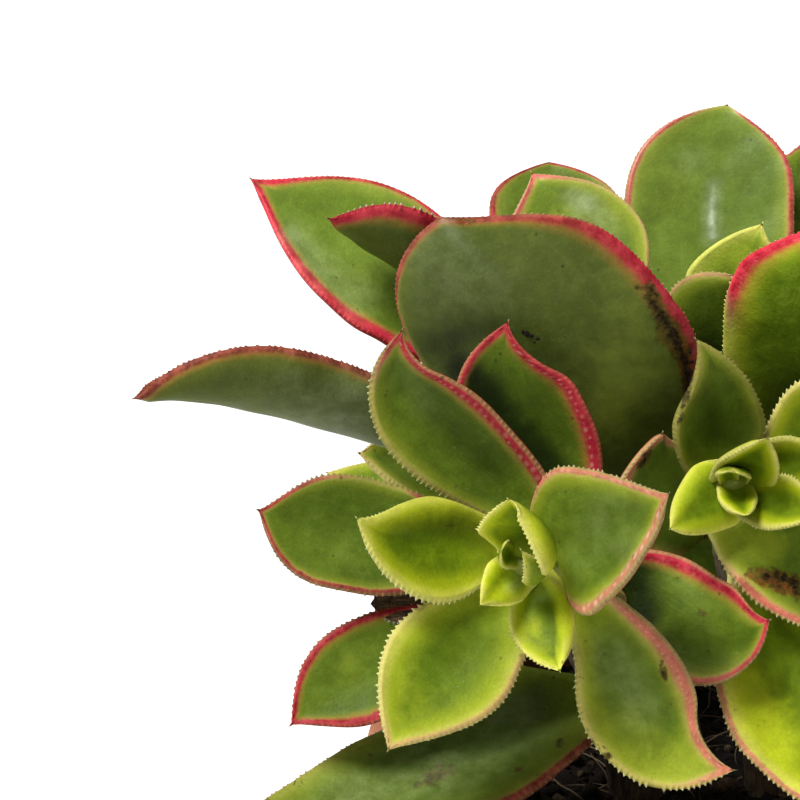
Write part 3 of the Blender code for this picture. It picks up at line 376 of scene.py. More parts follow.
def stem_solid(name, grow=0.0, upto=None, sides=9):
    """Closed tube along a stem, round at the crown. upto leaves out what is nearer the crown than that."""
    s = STEMS[name]
    total = s["run"][-1]
    if upto is None:
        hs = [0.5, 1.6, 3.4, 6.0] + list(np.linspace(10.0, total, 6))
    else:
        hs = list(np.linspace(upto, total, 4))
    verts, faces = [], []
    d = None
    for h in hs:
        p, d, r = stem_point(name, h)
        u = unit(np.array([0.0, 1.0, 0.0]) - d[1] * d)
        v = np.cross(d, u)
        for j in range(sides):
            a = 2 * math.pi * j / sides
            verts.append((p + (r + grow) * (math.cos(a) * u + math.sin(a) * v)).tolist())
    n = len(hs)
    for i in range(n - 1):
        for j in range(sides):
            k = (j + 1) % sides
            faces.append((i * sides + k, i * sides + j, (i + 1) * sides + j, (i + 1) * sides + k))
    if upto is None:
        verts.append((s["crown"] + 0.3 * s["axis"]).tolist())
        for j in range(sides):
            faces.append((j, (j + 1) % sides, n * sides))
    else:
        faces.append(tuple(range(sides)))
    faces.append(tuple(reversed(range((n - 1) * sides, n * sides))))
    return verts, faces


def pot_inner_radius(z):
    """Inside radius of the pot at height z."""
    outer = POT_FOOT + (POT_SHOULDER - POT_FOOT) * min(z / (POT_HEIGHT - RIM_HEIGHT), 1.0)
    return outer - POT_WALL


POT_PROFILE = [
    (0.0, 0.0), (POT_FOOT - 1.2, 0.0), (POT_FOOT, 1.2), (POT_SHOULDER, POT_HEIGHT - RIM_HEIGHT), (RIM_RADIUS - 1.6, POT_HEIGHT - RIM_HEIGHT),
    (RIM_RADIUS - 0.6, POT_HEIGHT - RIM_HEIGHT + 1.4), (RIM_RADIUS, POT_HEIGHT - 3.4), (RIM_RADIUS - 0.7, POT_HEIGHT - 1.0),
    (RIM_RADIUS - 2.2, POT_HEIGHT), (RIM_RADIUS - 4.6, POT_HEIGHT), (RIM_RADIUS - 5.9, POT_HEIGHT - 1.2),
    (pot_inner_radius(POT_HEIGHT - RIM_HEIGHT) + 0.6, POT_HEIGHT - RIM_HEIGHT), (pot_inner_radius(POT_FLOOR) - 2.0, POT_FLOOR + 0.8),
    (pot_inner_radius(POT_FLOOR) - 5.0, POT_FLOOR), (0.0, POT_FLOOR),
]


def soil_height(x, y):
    """Height of the soil: nearly level, a little higher in the middle, with low lumps."""
    r = np.hypot(x, y)
    return (SOIL_LEVEL - 1.6 * (r / 45.0) ** 2 + 0.7 * np.sin(0.21 * x + 1.3) * np.cos(0.17 * y - 0.4) + 0.5 * np.sin(0.33 * y + 0.19 * x))


def soil_solid():
    sides = 28
    verts, faces = [], []
    rings = [(0.0, "top")] + [(k, "top") for k in (12.0, 24.0, 35.0, 44.0)]
    edge_top = pot_inner_radius(POT_HEIGHT - RIM_HEIGHT) + 0.6 + (SOIL_LEVEL - 2.2 - (POT_HEIGHT - RIM_HEIGHT)) * (
        (RIM_RADIUS - 5.9 - pot_inner_radius(POT_HEIGHT - RIM_HEIGHT) - 0.6) / (RIM_HEIGHT - 1.2))
    lower = [(edge_top - CLEARANCE - 0.35, None), (pot_inner_radius(POT_HEIGHT - RIM_HEIGHT) - CLEARANCE, POT_HEIGHT - RIM_HEIGHT),
             (pot_inner_radius(POT_FLOOR) - 2.6, POT_FLOOR + 2.0), (pot_inner_radius(POT_FLOOR) - 6.0, POT_FLOOR + CLEARANCE + 0.1)]
    verts.append((0.0, 0.0, float(soil_height(0.0, 0.0))))
    for r, _ in rings[1:]:
        for j in range(sides):
            a = 2 * math.pi * j / sides
            x, y = r * math.cos(a), r * math.sin(a)
            verts.append((x, y, float(soil_height(x, y))))
    for r, z in lower:
        for j in range(sides):
            a = 2 * math.pi * j / sides
            x, y = r * math.cos(a), r * math.sin(a)
            verts.append((x, y, float(soil_height(x, y)) - 0.6 if z is None else z))
    count = len(rings) - 1 + len(lower)
    for j in range(sides):
        faces.append((0, 1 + j, 1 + (j + 1) % sides))
    for i in range(count - 1):
        for j in range(sides):
            k = (j + 1) % sides
            a, b = 1 + i * sides, 1 + (i + 1) * sides
            faces.append((a + j, b + j, b + k, a + k))
    last = 1 + (count - 1) * sides
    faces.append(tuple(reversed(range(last, last + sides))))
    return verts, faces
# === end of shape ==============================================================================================


# ---------------------------------------------------------------------------------------------------------------
# Small helpers

MM = 0.001


def plan_px(p):
    """Plan coordinates (steps across, steps down) of points in mm."""
    v = np.asarray(p) - REF
    d = v @ BACK
    k = STEP * (1.0 - d / DIST)
    return np.stack([400.0 + (v @ RIGHT) / k, 400.0 - (v @ UP) / k], -1)


def smooth(a, b, x):
    t = np.clip((np.asarray(x, float) - a) / (b - a), 0.0, 1.0)
    return t * t * (3.0 - 2.0 * t)


def new_mesh(name, verts_mm, faces, mat, attrs=None, smooth_shade=True):
    """Mesh object from points in mm; attrs holds point attributes, one number or three each."""
    mesh = bpy.data.meshes.new(name)
    verts = np.asarray(verts_mm, np.float32) * MM
    mesh.from_pydata(verts.tolist(), [], faces)
    for key, values in (attrs or {}).items():
        values = np.asarray(values, np.float32)
        kind = "FLOAT" if values.ndim == 1 else "FLOAT_VECTOR"
        a = mesh.attributes.new(key, kind, "POINT")
        a.data.foreach_set("value" if kind == "FLOAT" else "vector", values.ravel())
    mesh.materials.append(mat)
    if smooth_shade:
        mesh.shade_smooth()
    mesh.update()
    obj = bpy.data.objects.new(name, mesh)
    bpy.context.scene.collection.objects.link(obj)
    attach(obj, "root")
    return obj


# ---------------------------------------------------------------------------------------------------------------
# Materials


class Nodes:
    """Short way to write a node tree."""

    def __init__(self, name):
        self.mat = bpy.data.materials.new(name)
        self.mat.use_nodes = True
        self.tree = self.mat.node_tree
        self.bsdf = self.tree.nodes["Principled BSDF"]

    def set(self, name, value):
        self.bsdf.inputs[name].default_value = value

    def link(self, a, b):
        self.tree.links.new(a, b)

    def to(self, name, out):
        self.link(out, self.bsdf.inputs[name])

    def node(self, kind, **props):
        n = self.tree.nodes.new(kind)
        for k, v in props.items():
            setattr(n, k, v)
        return n

    def put(self, socket, value):
        if isinstance(value, bpy.types.NodeSocket):
            self.link(value, socket)
        elif isinstance(value, tuple) and len(value) == 3 and socket.type == "RGBA":
            socket.default_value = (*value, 1.0)
        else:
            socket.default_value = value

    def math(self, op, a, b=None, c=None, clamp=False):
        n = self.node("ShaderNodeMath", operation=op, use_clamp=clamp)
        for i, v in enumerate((a, b, c)):
            if v is not None:
                self.put(n.inputs[i], v)
        return n.outputs[0]

    def vmath(self, op, a, b=None):
        n = self.node("ShaderNodeVectorMath", operation=op)
        self.put(n.inputs[0], a)
        if b is not None:
            self.put(n.inputs[1], b)
        return n.outputs[0]

    def mix(self, fac, a, b, how="MIX"):
        n = self.node("ShaderNodeMix", data_type="RGBA", blend_type=how)
        self.put(n.inputs[0], fac)
        self.put(n.inputs[6], a)
        self.put(n.inputs[7], b)
        return n.outputs[2]

    def lerp(self, fac, a, b):
        n = self.node("ShaderNodeMix", data_type="FLOAT")
        self.put(n.inputs[0], fac)
        self.put(n.inputs[2], a)
        self.put(n.inputs[3], b)
        return n.outputs[0]

    def step(self, x, a, b):
        """0 below a, 1 above b, smooth between; a may be above b."""
        n = self.node("ShaderNodeMapRange", interpolation_type="SMOOTHSTEP")
        self.put(n.inputs[0], x)
        self.put(n.inputs[1], a)
        self.put(n.inputs[2], b)
        return n.outputs[0]

    def attr(self, name):
        return self.node("ShaderNodeAttribute", attribute_type="GEOMETRY", attribute_name=name)

    def split(self, vec):
        n = self.node("ShaderNodeSeparateXYZ")
        self.link(vec, n.inputs[0])
        return n.outputs[0], n.outputs[1], n.outputs[2]

    def join(self, x, y, z):
        n = self.node("ShaderNodeCombineXYZ")
        for i, v in enumerate((x, y, z)):
            self.put(n.inputs[i], v)
        return n.outputs[0]

    def noise(self, vec, scale, detail=2.0, rough=0.5, distort=0.0):
        n = self.node("ShaderNodeTexNoise")
        if vec is not None:
            self.link(vec, n.inputs["Vector"])
        n.inputs["Scale"].default_value = scale
        n.inputs["Detail"].default_value = detail
        n.inputs["Roughness"].default_value = rough
        n.inputs["Distortion"].default_value = distort
        return n.outputs["Fac"]

    def voronoi(self, vec, scale, feature="F1", rand=1.0):
        n = self.node("ShaderNodeTexVoronoi", feature=feature)
        if vec is not None:
            self.link(vec, n.inputs["Vector"])
        n.inputs["Scale"].default_value = scale
        n.inputs["Randomness"].default_value = rand
        return n

    def ramp(self, fac, stops, interp="LINEAR"):
        n = self.node("ShaderNodeValToRGB")
        n.color_ramp.interpolation = interp
        els = n.color_ramp.elements
        while len(els) < len(stops):
            els.new(0.5)
        for e, (pos, col) in zip(els, stops):
            e.position = pos
            e.color = (*col, 1.0)
        self.link(fac, n.inputs[0])
        return n.outputs[0]

    def bump(self, height, dist, strength=1.0, normal=None):
        n = self.node("ShaderNodeBump")
        n.inputs["Strength"].default_value = strength
        n.inputs["Distance"].default_value = dist
        self.link(height, n.inputs["Height"])
        if normal is not None:
            self.link(normal, n.inputs["Normal"])
        return n.outputs[0]


def leaf_material(name="leaf_skin"):
    m = Nodes(name)
    co = m.node("ShaderNodeTexCoord").outputs["Object"]
    edge, along, across = m.split(m.attr("lf_a").outputs["Vector"])         # mm from the margin (below 0 on teeth), t, s
    upper, red, redw = m.split(m.attr("lf_b").outputs["Vector"])            # 1 above, red amount, red width in mm
    young, rim, scar = m.split(m.attr("lf_c").outputs["Vector"])
    tone, dull, flush = m.split(m.attr("lf_d").outputs["Vector"])
    grime, gloss, yellow = m.split(m.attr("lf_e").outputs["Vector"])        # dirt, shine, width of the yellow zone in mm
    painted_light_shade, bloom, soiled = m.split(m.attr("lf_f").outputs["Vector"])        # painted shade (below 0) or painted light on the green, wax with painted sheen, dirt
    beads, even, faded = m.split(m.attr("lf_g").outputs["Vector"])          # dots on the rim, evenness of the green, browned red
    flat = m.attr("lf_uv").outputs["Vector"]                                # mm across, mm along, leaf number

    cloud = m.noise(co, 90.0, 3.0, 0.55)                                    # patches of about a centimetre
    mottle = m.noise(co, 420.0, 3.0, 0.6)                                   # 2 mm
    grain = m.noise(co, 2600.0, 2.0, 0.6)                                   # 0.4 mm
    stretch = m.vmath("MULTIPLY", flat, m.join(1.0, 0.16, 1.0))
    veins = m.noise(stretch, 2.4, 3.0, 0.6)                                 # long fine streaks towards the tip
    cross = m.noise(m.vmath("MULTIPLY", flat, m.join(0.45, 1.9, 1.0)), 1.0, 3.0, 0.65)
    mott0 = m.math("SUBTRACT", mottle, 0.5)

    # the green, darkest in the middle of the blade
    e_wob = m.math("ADD", edge, m.math("ADD", m.math("MULTIPLY", mott0, 1.2), m.math("MULTIPLY", m.math("SUBTRACT", cloud, 0.5), 2.2)))
    e_rel = m.math("DIVIDE", e_wob, yellow)
    blotch = m.noise(co, 190.0, 4.0, 0.62, 0.4)                             # 5 mm, uneven
    deep = m.mix(m.step(blotch, 0.36, 0.66), (0.058, 0.108, 0.0022), (0.112, 0.178, 0.0060))
    deep = m.mix(m.math("MULTIPLY", m.step(veins, 0.44, 0.70), 0.34), deep, (0.160, 0.225, 0.016))
    deep = m.mix(m.math("MULTIPLY", m.step(mottle, 0.54, 0.72), 0.22), deep, (0.170, 0.225, 0.035))
    deep = m.mix(m.math("MULTIPLY", m.step(mottle, 0.46, 0.30), 0.28), deep, (0.045, 0.085, 0.0016))
    plain = m.mix(m.step(blotch, 0.30, 0.70), (0.122, 0.190, 0.019), (0.148, 0.222, 0.028))
    plain = m.mix(m.math("MULTIPLY", m.step(veins, 0.44, 0.70), 0.18), plain, (0.180, 0.250, 0.045))
    deep = m.mix(even, deep, plain)
    old = m.mix(m.math("MULTIPLY", m.step(e_rel, 1.15, 0.15), m.lerp(even, 1.0, 0.75)), deep, m.mix(even, (0.200, 0.265, 0.012), (0.225, 0.300, 0.050)))
    mid = m.mix(m.step(blotch, 0.36, 0.66), (0.085, 0.140, 0.0010), (0.150, 0.220, 0.0030))
    fresh = m.mix(m.step(e_rel, 1.15, 0.45), mid, (0.320, 0.385, 0.0060))
    fresh = m.mix(m.math("MULTIPLY", m.step(e_rel, 0.60, 0.10), 0.9), fresh, (0.600, 0.600, 0.040))
    green = m.mix(young, old, fresh)
    base_in = m.step(along, 0.36, 0.0)
    green = m.mix(m.math("MULTIPLY", base_in, m.lerp(young, 0.25, 0.55)), green, (0.310, 0.370, 0.016))
    # the underside is greyer and duller, with fine pale dots
    under = m.mix(m.step(blotch, 0.28, 0.74), (0.086, 0.117, 0.016), (0.112, 0.147, 0.026))
    under = m.mix(m.math("MULTIPLY", m.step(mottle, 0.55, 0.74), 0.14), under, (0.140, 0.175, 0.045))
    under = m.mix(m.math("MULTIPLY", m.step(e_wob, 4.2, 0.4), 0.6), under, (0.150, 0.190, 0.020))
    under_young = m.mix(m.step(e_rel, 1.1, 0.2), (0.150, 0.215, 0.010), (0.470, 0.480, 0.050))
    under = m.mix(young, under, under_young)
    dots = m.voronoi(co, 1500.0).outputs["Distance"]
    under = m.mix(m.math("MULTIPLY", m.step(dots, 0.30, 0.12), 0.22), under, (0.19, 0.24, 0.11))
    under = m.mix(m.math("MULTIPLY", m.step(cross, 0.45, 0.7), 0.12), under, (0.045, 0.060, 0.016))
    col = m.mix(upper, under, green)
    wob = m.math("MULTIPLY", m.math("SUBTRACT", blotch, 0.5), 1.1)
    # painted light: the green is made paler where light falls on the leaf
    painted_light = m.math("MULTIPLY", m.step(m.math("ADD", painted_light_shade, m.math("MULTIPLY", wob, m.step(painted_light_shade, 0.02, 0.3))), 0.0, 1.0), 0.85)
    col = m.mix(painted_light, col, m.mix(young, (0.235, 0.300, 0.030), (0.400, 0.455, 0.008)))
    # painted shade: the green is made near black where shade falls on the leaf
    down = m.math("MULTIPLY", painted_light_shade, -1.0)
    painted_shade = m.math("MULTIPLY", m.step(m.math("ADD", down, m.math("MULTIPLY", wob, m.math("MULTIPLY", m.step(down, 0.02, 0.3), 0.7))), 0.0, 0.95), 0.97)
    col = m.mix(painted_shade, col, (0.0085, 0.0170, 0.0004))
    # blush that spreads inward from the red margins of old leaves
    blush = m.math("MULTIPLY", flush, m.step(m.math("ADD", e_wob, m.math("MULTIPLY", cloud, 2.0)), 5.0, 0.5))
    col = m.mix(m.math("MULTIPLY", blush, 0.55), col, (0.24, 0.050, 0.020))
    # pale light-green line where the green ends
    line = m.math("MULTIPLY", m.step(e_rel, 0.46, 0.16), m.lerp(young, 0.22, 0.55))
    col = m.mix(m.math("MULTIPLY", line, 0.8), col, (0.50, 0.50, 0.11))
    # cream rim
    e_rim = m.math("ADD", edge, m.math("MULTIPLY", mott0, 0.4))
    col = m.mix(m.math("MULTIPLY", rim, m.step(e_rim, 0.55, 0.02)), col, (0.66, 0.60, 0.24))
    # the red band, soft towards the blade
    ragged = m.math("SUBTRACT", m.noise(co, 700.0, 3.0, 0.65), 0.5)
    e_red = m.math("DIVIDE", m.math("ADD", edge, m.math("MULTIPLY", ragged, 0.8)), redw)
    amount = m.step(red, 0.0, 0.44)
    glow = m.math("MULTIPLY", m.step(e_red, 2.1, 0.7), m.math("MULTIPLY", amount, 0.55))
    col = m.mix(glow, col, m.mix(m.step(red, 0.25, 0.75), (0.52, 0.42, 0.12), (0.45, 0.175, 0.045)))
    band = m.math("MULTIPLY", m.step(e_red, 1.35, 0.55), amount)
    rose = m.mix(m.step(m.math("ADD", mottle, m.math("MULTIPLY", m.math("SUBTRACT", grain, 0.5), 0.4)), 0.34, 0.72), (0.430, 0.012, 0.032), (0.575, 0.036, 0.064))
    rose = m.mix(m.step(red, 0.62, 0.15), rose, (0.62, 0.285, 0.165))
    rose = m.mix(m.math("MULTIPLY", m.step(edge, 0.22, 0.0), m.step(red, 0.9, 0.4)), rose, (0.42, 0.31, 0.12))
    dry = m.mix(m.step(mottle, 0.4, 0.6), (0.170, 0.035, 0.018), (0.30, 0.075, 0.040))
    rose = m.mix(m.math("MAXIMUM", dull, faded), rose, dry)
    col = m.mix(band, col, rose)
    # a row of pale dots along the rim, one to a tooth or so
    _, fy, fz = m.split(flat)
    place = m.math("DIVIDE", fy, 0.92)
    cell = m.math("FLOOR", place)
    chance = m.node("ShaderNodeTexWhiteNoise", noise_dimensions="2D")
    m.put(chance.inputs["Vector"], m.join(cell, fz, 0.0))
    r1, r2, r3 = m.split(chance.outputs["Color"])
    dy = m.math("MULTIPLY", m.math("SUBTRACT", m.math("SUBTRACT", place, cell), m.lerp(r1, 0.36, 0.64)), 0.92)
    dx = m.math("SUBTRACT", edge, m.math("MULTIPLY", redw, m.lerp(r2, 0.36, 0.70)))
    away = m.math("SQRT", m.math("ADD", m.math("MULTIPLY", dx, dx), m.math("MULTIPLY", dy, dy)))
    dot = m.math("MULTIPLY", m.step(away, m.lerp(r3, 0.14, 0.50), 0.04), m.step(red, 0.05, 0.25))
    col = m.mix(m.math("MULTIPLY", m.math("MULTIPLY", dot, m.lerp(r1, 0.35, 1.0)), beads), col, (0.80, 0.52, 0.36))
    # teeth: pale horn towards their points
    tooth = m.step(edge, -0.06, -0.34)
    horn = m.mix(m.math("MINIMUM", red, 1.0), (0.64, 0.66, 0.36), (0.74, 0.60, 0.50))
    col = m.mix(m.math("MULTIPLY", tooth, 0.80), col, horn)
    # scars with a dark middle and a brown rim
    creeps = m.noise(co, 1300.0, 4.0, 0.7)
    s = m.math("ADD", scar, m.math("MULTIPLY", m.math("SUBTRACT", m.noise(co, 900.0, 4.0, 0.7), 0.5), 0.85))
    halo = m.math("MULTIPLY", m.step(s, 0.20, 0.44), 0.93)
    core = m.math("MULTIPLY", m.step(s, 0.46, 0.66), m.lerp(m.step(creeps, 0.40, 0.54), 0.5, 1.0))
    brown = m.mix(m.step(mottle, 0.35, 0.65), (0.046, 0.032, 0.005), (0.120, 0.088, 0.014))
    brown = m.mix(m.math("MULTIPLY", faded, m.step(creeps, 0.40, 0.60)), brown, (0.235, 0.052, 0.014))
    col = m.mix(halo, col, brown)
    col = m.mix(core, col, (0.018, 0.009, 0.005))
    # dust and soil: specks everywhere, smears along the margins of the low leaves
    speck_cell = m.voronoi(co, 260.0)
    chance = m.split(speck_cell.outputs["Color"])[0]
    speck = m.math("MULTIPLY", m.step(m.math("ADD", speck_cell.outputs["Distance"], m.math("MULTIPLY", m.math("SUBTRACT", grain, 0.5), 0.10)), 0.085, 0.03), m.math("GREATER_THAN", chance, 0.88))
    speck_far = m.voronoi(co, 620.0)
    chance2 = m.split(speck_far.outputs["Color"])[1]
    speck2 = m.math("MULTIPLY", m.step(speck_far.outputs["Distance"], 0.20, 0.08), m.math("GREATER_THAN", chance2, 0.90))
    dirt = m.math("MAXIMUM", m.math("MULTIPLY", speck, 0.55), m.math("MULTIPLY", speck2, 0.65))
    dirt = m.math("MULTIPLY", dirt, m.lerp(young, 0.9, 0.2))
    creep = m.noise(m.vmath("MULTIPLY", co, m.join(1.0, 1.0, 1.0)), 560.0, 5.0, 0.75, 1.2)
    smear = m.math("MULTIPLY", m.step(creep, 0.60, 0.68), m.math("MULTIPLY", grime, m.step(edge, 3.2, 0.2)))
    dirt = m.math("MAXIMUM", dirt, m.math("MULTIPLY", smear, 0.85))
    crust = m.math("ADD", soiled, m.math("MULTIPLY", m.math("SUBTRACT", m.noise(co, 1000.0, 5.0, 0.8, 0.6), 0.5), 2.2))
    dirt = m.math("MAXIMUM", dirt, m.math("MULTIPLY", m.math("MULTIPLY", m.step(crust, 0.55, 0.95), m.step(soiled, 0.03, 0.25)), 0.88))
    col = m.mix(dirt, col, (0.030, 0.021, 0.010))
    dust = m.math("MULTIPLY", m.step(m.noise(co, 1500.0, 4.0, 0.8), 0.58, 0.74), m.step(cloud, 0.38, 0.62))
    col = m.mix(m.math("MULTIPLY", dust, 0.18), col, (0.42, 0.45, 0.30))
    # wax: a thin grey-green veil, streaky and uneven; where it is strongest it turns near white, a painted sheen and
    # highlight
    wax_and_sheen = m.math("MULTIPLY", bloom, m.math("ADD", 0.35, m.math("MULTIPLY", m.step(m.math("ADD", m.math("MULTIPLY", blotch, 0.65), m.math("MULTIPLY", mottle, 0.35)), 0.40, 0.62), 0.65)))
    col = m.mix(m.math("MINIMUM", wax_and_sheen, 0.85), col, m.mix(m.step(bloom, 0.55, 0.95), (0.30, 0.36, 0.20), (0.52, 0.62, 0.45)))
    # each leaf a little lighter or darker, and a fine grain
    bright = m.node("ShaderNodeHueSaturation")
    m.put(bright.inputs["Value"], m.math("MULTIPLY", m.math("MULTIPLY", tone, m.lerp(grain, 0.82, 1.18)), m.lerp(m.step(mottle, 0.25, 0.75), 0.88, 1.12)))
    m.put(bright.inputs["Color"], col)
    col = bright.outputs[0]
    m.to("Base Color", col)

    satin = m.math("SUBTRACT", m.lerp(m.step(mottle, 0.3, 0.7), 0.42, 0.54), m.math("MULTIPLY", gloss, 0.16))
    m.to("Roughness", m.math("ADD", satin, m.math("MULTIPLY", m.math("MAXIMUM", core, dirt), 0.35)))
    m.set("Specular IOR Level", 0.09)
    m.to("Coat Weight", m.math("MINIMUM", m.math("ADD", m.math("MULTIPLY", gloss, 0.5), m.math("MULTIPLY", bloom, 0.5)), 1.0))
    m.set("Coat Roughness", 0.34)
    m.set("Subsurface Weight", LEAF_SSS)
    m.set("Subsurface Radius", (0.45, 0.70, 0.16))
    m.set("Subsurface Scale", 0.0011)
    # skin: fine cells, faint lines across the blade, pits of the scars
    cells = m.voronoi(co, 2400.0, "SMOOTH_F1").outputs["Distance"]
    h = m.math("ADD", m.math("MULTIPLY", cells, 0.5), m.math("MULTIPLY", grain, 0.6))
    h = m.math("ADD", h, m.math("MULTIPLY", cross, 0.35))
    h = m.math("ADD", h, m.math("MULTIPLY", mottle, 0.8))
    h = m.math("SUBTRACT", h, m.math("MULTIPLY", core, 1.6))
    h = m.math("ADD", h, m.math("MULTIPLY", dirt, 1.0))
    b = m.bump(h, 0.00010, 0.55)
    b = m.bump(m.noise(co, 260.0, 2.0, 0.5), 0.0006, 0.25, b)
    m.to("Normal", b)
    return m.mat


def stem_material():
    m = Nodes("stem_skin")
    co = m.node("ShaderNodeTexCoord").outputs["Object"]
    down, ring, bark = m.split(m.attr("st_a").outputs["Vector"])            # mm from the crown, leaf mark, 0 green .. 1 brown
    cloud = m.noise(co, 260.0, 3.0, 0.6)
    grain = m.noise(co, 1500.0, 3.0, 0.65)
    fibre = m.noise(m.vmath("MULTIPLY", co, m.join(1.0, 1.0, 0.22)), 900.0, 3.0, 0.7)
    young = m.mix(cloud, (0.26, 0.33, 0.045), (0.38, 0.42, 0.085))
    wood = m.mix(m.step(fibre, 0.35, 0.68), (0.046, 0.027, 0.014), (0.165, 0.110, 0.060))
    wood = m.mix(m.math("MULTIPLY", m.step(cloud, 0.5, 0.75), 0.5), wood, (0.16, 0.15, 0.07))
    col = m.mix(m.step(m.math("ADD", bark, m.math("MULTIPLY", m.math("SUBTRACT", cloud, 0.5), 0.6)), 0.35, 0.75), young, wood)
    col = m.mix(m.math("MULTIPLY", ring, 0.75), col, (0.060, 0.036, 0.020))
    m.to("Base Color", col)
    m.to("Roughness", m.lerp(bark, 0.45, 0.82))
    h = m.math("ADD", m.math("MULTIPLY", fibre, 1.0), m.math("MULTIPLY", grain, 0.5))
    m.to("Normal", m.bump(h, 0.00025, 0.7))
    return m.mat


def soil_material():
    m = Nodes("peat")
    co = m.node("ShaderNodeTexCoord").outputs["Object"]
    lump = m.noise(co, 240.0, 4.0, 0.65)
    fine = m.noise(co, 1600.0, 4.0, 0.7)
    fleck = m.voronoi(co, 520.0)
    pick = m.split(fleck.outputs["Color"])[0]
    col = m.mix(m.step(lump, 0.35, 0.65), (0.0036, 0.0022, 0.0013), (0.0118, 0.0070, 0.0040))
    col = m.mix(m.math("MULTIPLY", m.step(fine, 0.52, 0.72), 0.5), col, (0.050, 0.032, 0.019))
    bit = m.math("MULTIPLY", m.step(fleck.outputs["Distance"], 0.30, 0.16), m.math("GREATER_THAN", pick, 0.90))
    col = m.mix(m.math("MULTIPLY", bit, 0.65), col, (0.115, 0.070, 0.036))
    m.to("Base Color", col)
    m.set("Roughness", 0.93)
    m.set("Specular IOR Level", 0.25)
    h = m.math("ADD", lump, m.math("MULTIPLY", fine, 0.7))
    m.to("Normal", m.bump(h, 0.0006, 0.9))
    return m.mat


def crumb_material():
    m = Nodes("peat_crumbs")
    co = m.node("ShaderNodeTexCoord").outputs["Object"]
    tint = m.split(m.attr("cr_a").outputs["Vector"])[0]
    fine = m.noise(co, 1500.0, 3.0, 0.7)
    dark = m.mix(m.step(fine, 0.35, 0.7), (0.0055, 0.0034, 0.0022), (0.020, 0.0125, 0.0072))
    light = m.mix(m.step(fine, 0.35, 0.7), (0.070, 0.044, 0.024), (0.160, 0.105, 0.058))
    m.to("Base Color", m.mix(m.step(tint, 0.80, 0.96), dark, light))
    m.set("Roughness", 0.9)
    m.set("Specular IOR Level", 0.25)
    m.to("Normal", m.bump(m.math("ADD", fine, m.noise(co, 700.0, 3.0, 0.6)), 0.0004, 0.9))
    return m.mat


def fibre_material():
    m = Nodes("root_fibre")
    co = m.node("ShaderNodeTexCoord").outputs["Object"]
    tint = m.split(m.attr("cr_a").outputs["Vector"])[0]
    n = m.noise(co, 800.0, 3.0, 0.6)
    pale = m.mix(n, (0.16, 0.105, 0.055), (0.34, 0.235, 0.13))
    dark = m.mix(n, (0.045, 0.026, 0.014), (0.105, 0.062, 0.032))
    m.to("Base Color", m.mix(tint, dark, pale))
    m.set("Roughness", 0.75)
    m.to("Normal", m.bump(n, 0.0001, 0.5))
    return m.mat


def clay_material():
    m = Nodes("fired_clay")
    co = m.node("ShaderNodeTexCoord").outputs["Object"]
    x, y, z = m.split(co)
    cloud = m.noise(co, 38.0, 4.0, 0.6)
    mid = m.noise(co, 260.0, 4.0, 0.65)
    sand = m.noise(co, 1900.0, 3.0, 0.7)
    turned_lines = m.noise(m.join(m.math("MULTIPLY", m.noise(co, 25.0, 1.0), 0.02), 0.0, z), 900.0, 2.0, 0.55)
    col = m.mix(m.step(cloud, 0.32, 0.68), (0.40, 0.150, 0.078), (0.53, 0.235, 0.132))
    col = m.mix(m.math("MULTIPLY", m.step(mid, 0.5, 0.72), 0.4), col, (0.60, 0.315, 0.205))
    col = m.mix(m.math("MULTIPLY", m.step(sand, 0.60, 0.75), 0.35), col, (0.30, 0.105, 0.055))
    # lime bloom, most of it below the rim and near the foot
    up = m.math("ADD", z, m.math("MULTIPLY", m.math("SUBTRACT", cloud, 0.5), 0.050))
    low = m.step(up, 0.030, 0.004)
    under_rim = m.math("MULTIPLY", m.step(up, 0.046, 0.062), m.step(up, 0.070, 0.064))
    bloom = m.math("MULTIPLY", m.math("ADD", m.math("MULTIPLY", low, 0.8), m.math("MULTIPLY", under_rim, 0.5)), m.step(mid, 0.38, 0.66))
    col = m.mix(m.math("MULTIPLY", bloom, 0.6), col, (0.68, 0.56, 0.47))
    # damp and soil stain inside and on the lip
    r = m.math("SQRT", m.math("ADD", m.math("MULTIPLY", x, x), m.math("MULTIPLY", y, y)))
    stain = m.math("MULTIPLY", m.step(r, 0.0515, 0.0480), m.step(z, 0.060, 0.078))
    col = m.mix(m.math("MULTIPLY", stain, m.lerp(mid, 0.3, 0.95)), col, (0.085, 0.045, 0.027))
    pit = m.voronoi(co, 520.0)
    pick = m.split(pit.outputs["Color"])[0]
    hole = m.math("MULTIPLY", m.step(pit.outputs["Distance"], 0.20, 0.10), m.math("GREATER_THAN", pick, 0.93))
    col = m.mix(m.math("MULTIPLY", hole, 0.6), col, (0.20, 0.075, 0.042))
    m.to("Base Color", col)
    m.to("Roughness", m.lerp(mid, 0.80, 0.95))
    m.set("Specular IOR Level", 0.30)
    h = m.math("ADD", m.math("MULTIPLY", sand, 0.5), m.math("MULTIPLY", turned_lines, 0.8))
    h = m.math("ADD", h, m.math("MULTIPLY", mid, 0.6))
    h = m.math("SUBTRACT", h, m.math("MULTIPLY", hole, 1.5))
    m.to("Normal", m.bump(h, 0.00030, 0.7))
    return m.mat


def floor_material():
    m = Nodes("pale_floor")
    co = m.node("ShaderNodeTexCoord").outputs["Object"]
    n = m.noise(co, 3.0, 2.0)
    m.to("Base Color", m.mix(n, (0.905, 0.905, 0.905), (0.925, 0.925, 0.925)))
    m.set("Roughness", 0.9)
    m.set("Specular IOR Level", 0.1)
    return m.mat


LEAF_SSS = 0.0
SKIN = leaf_material()
STEM_SKIN = stem_material()
PEAT = soil_material()
CRUMBS = crumb_material()
FIBRE = fibre_material()
FIRED = clay_material()
FLOOR = floor_material()

# ---------------------------------------------------------------------------------------------------------------
# Leaves

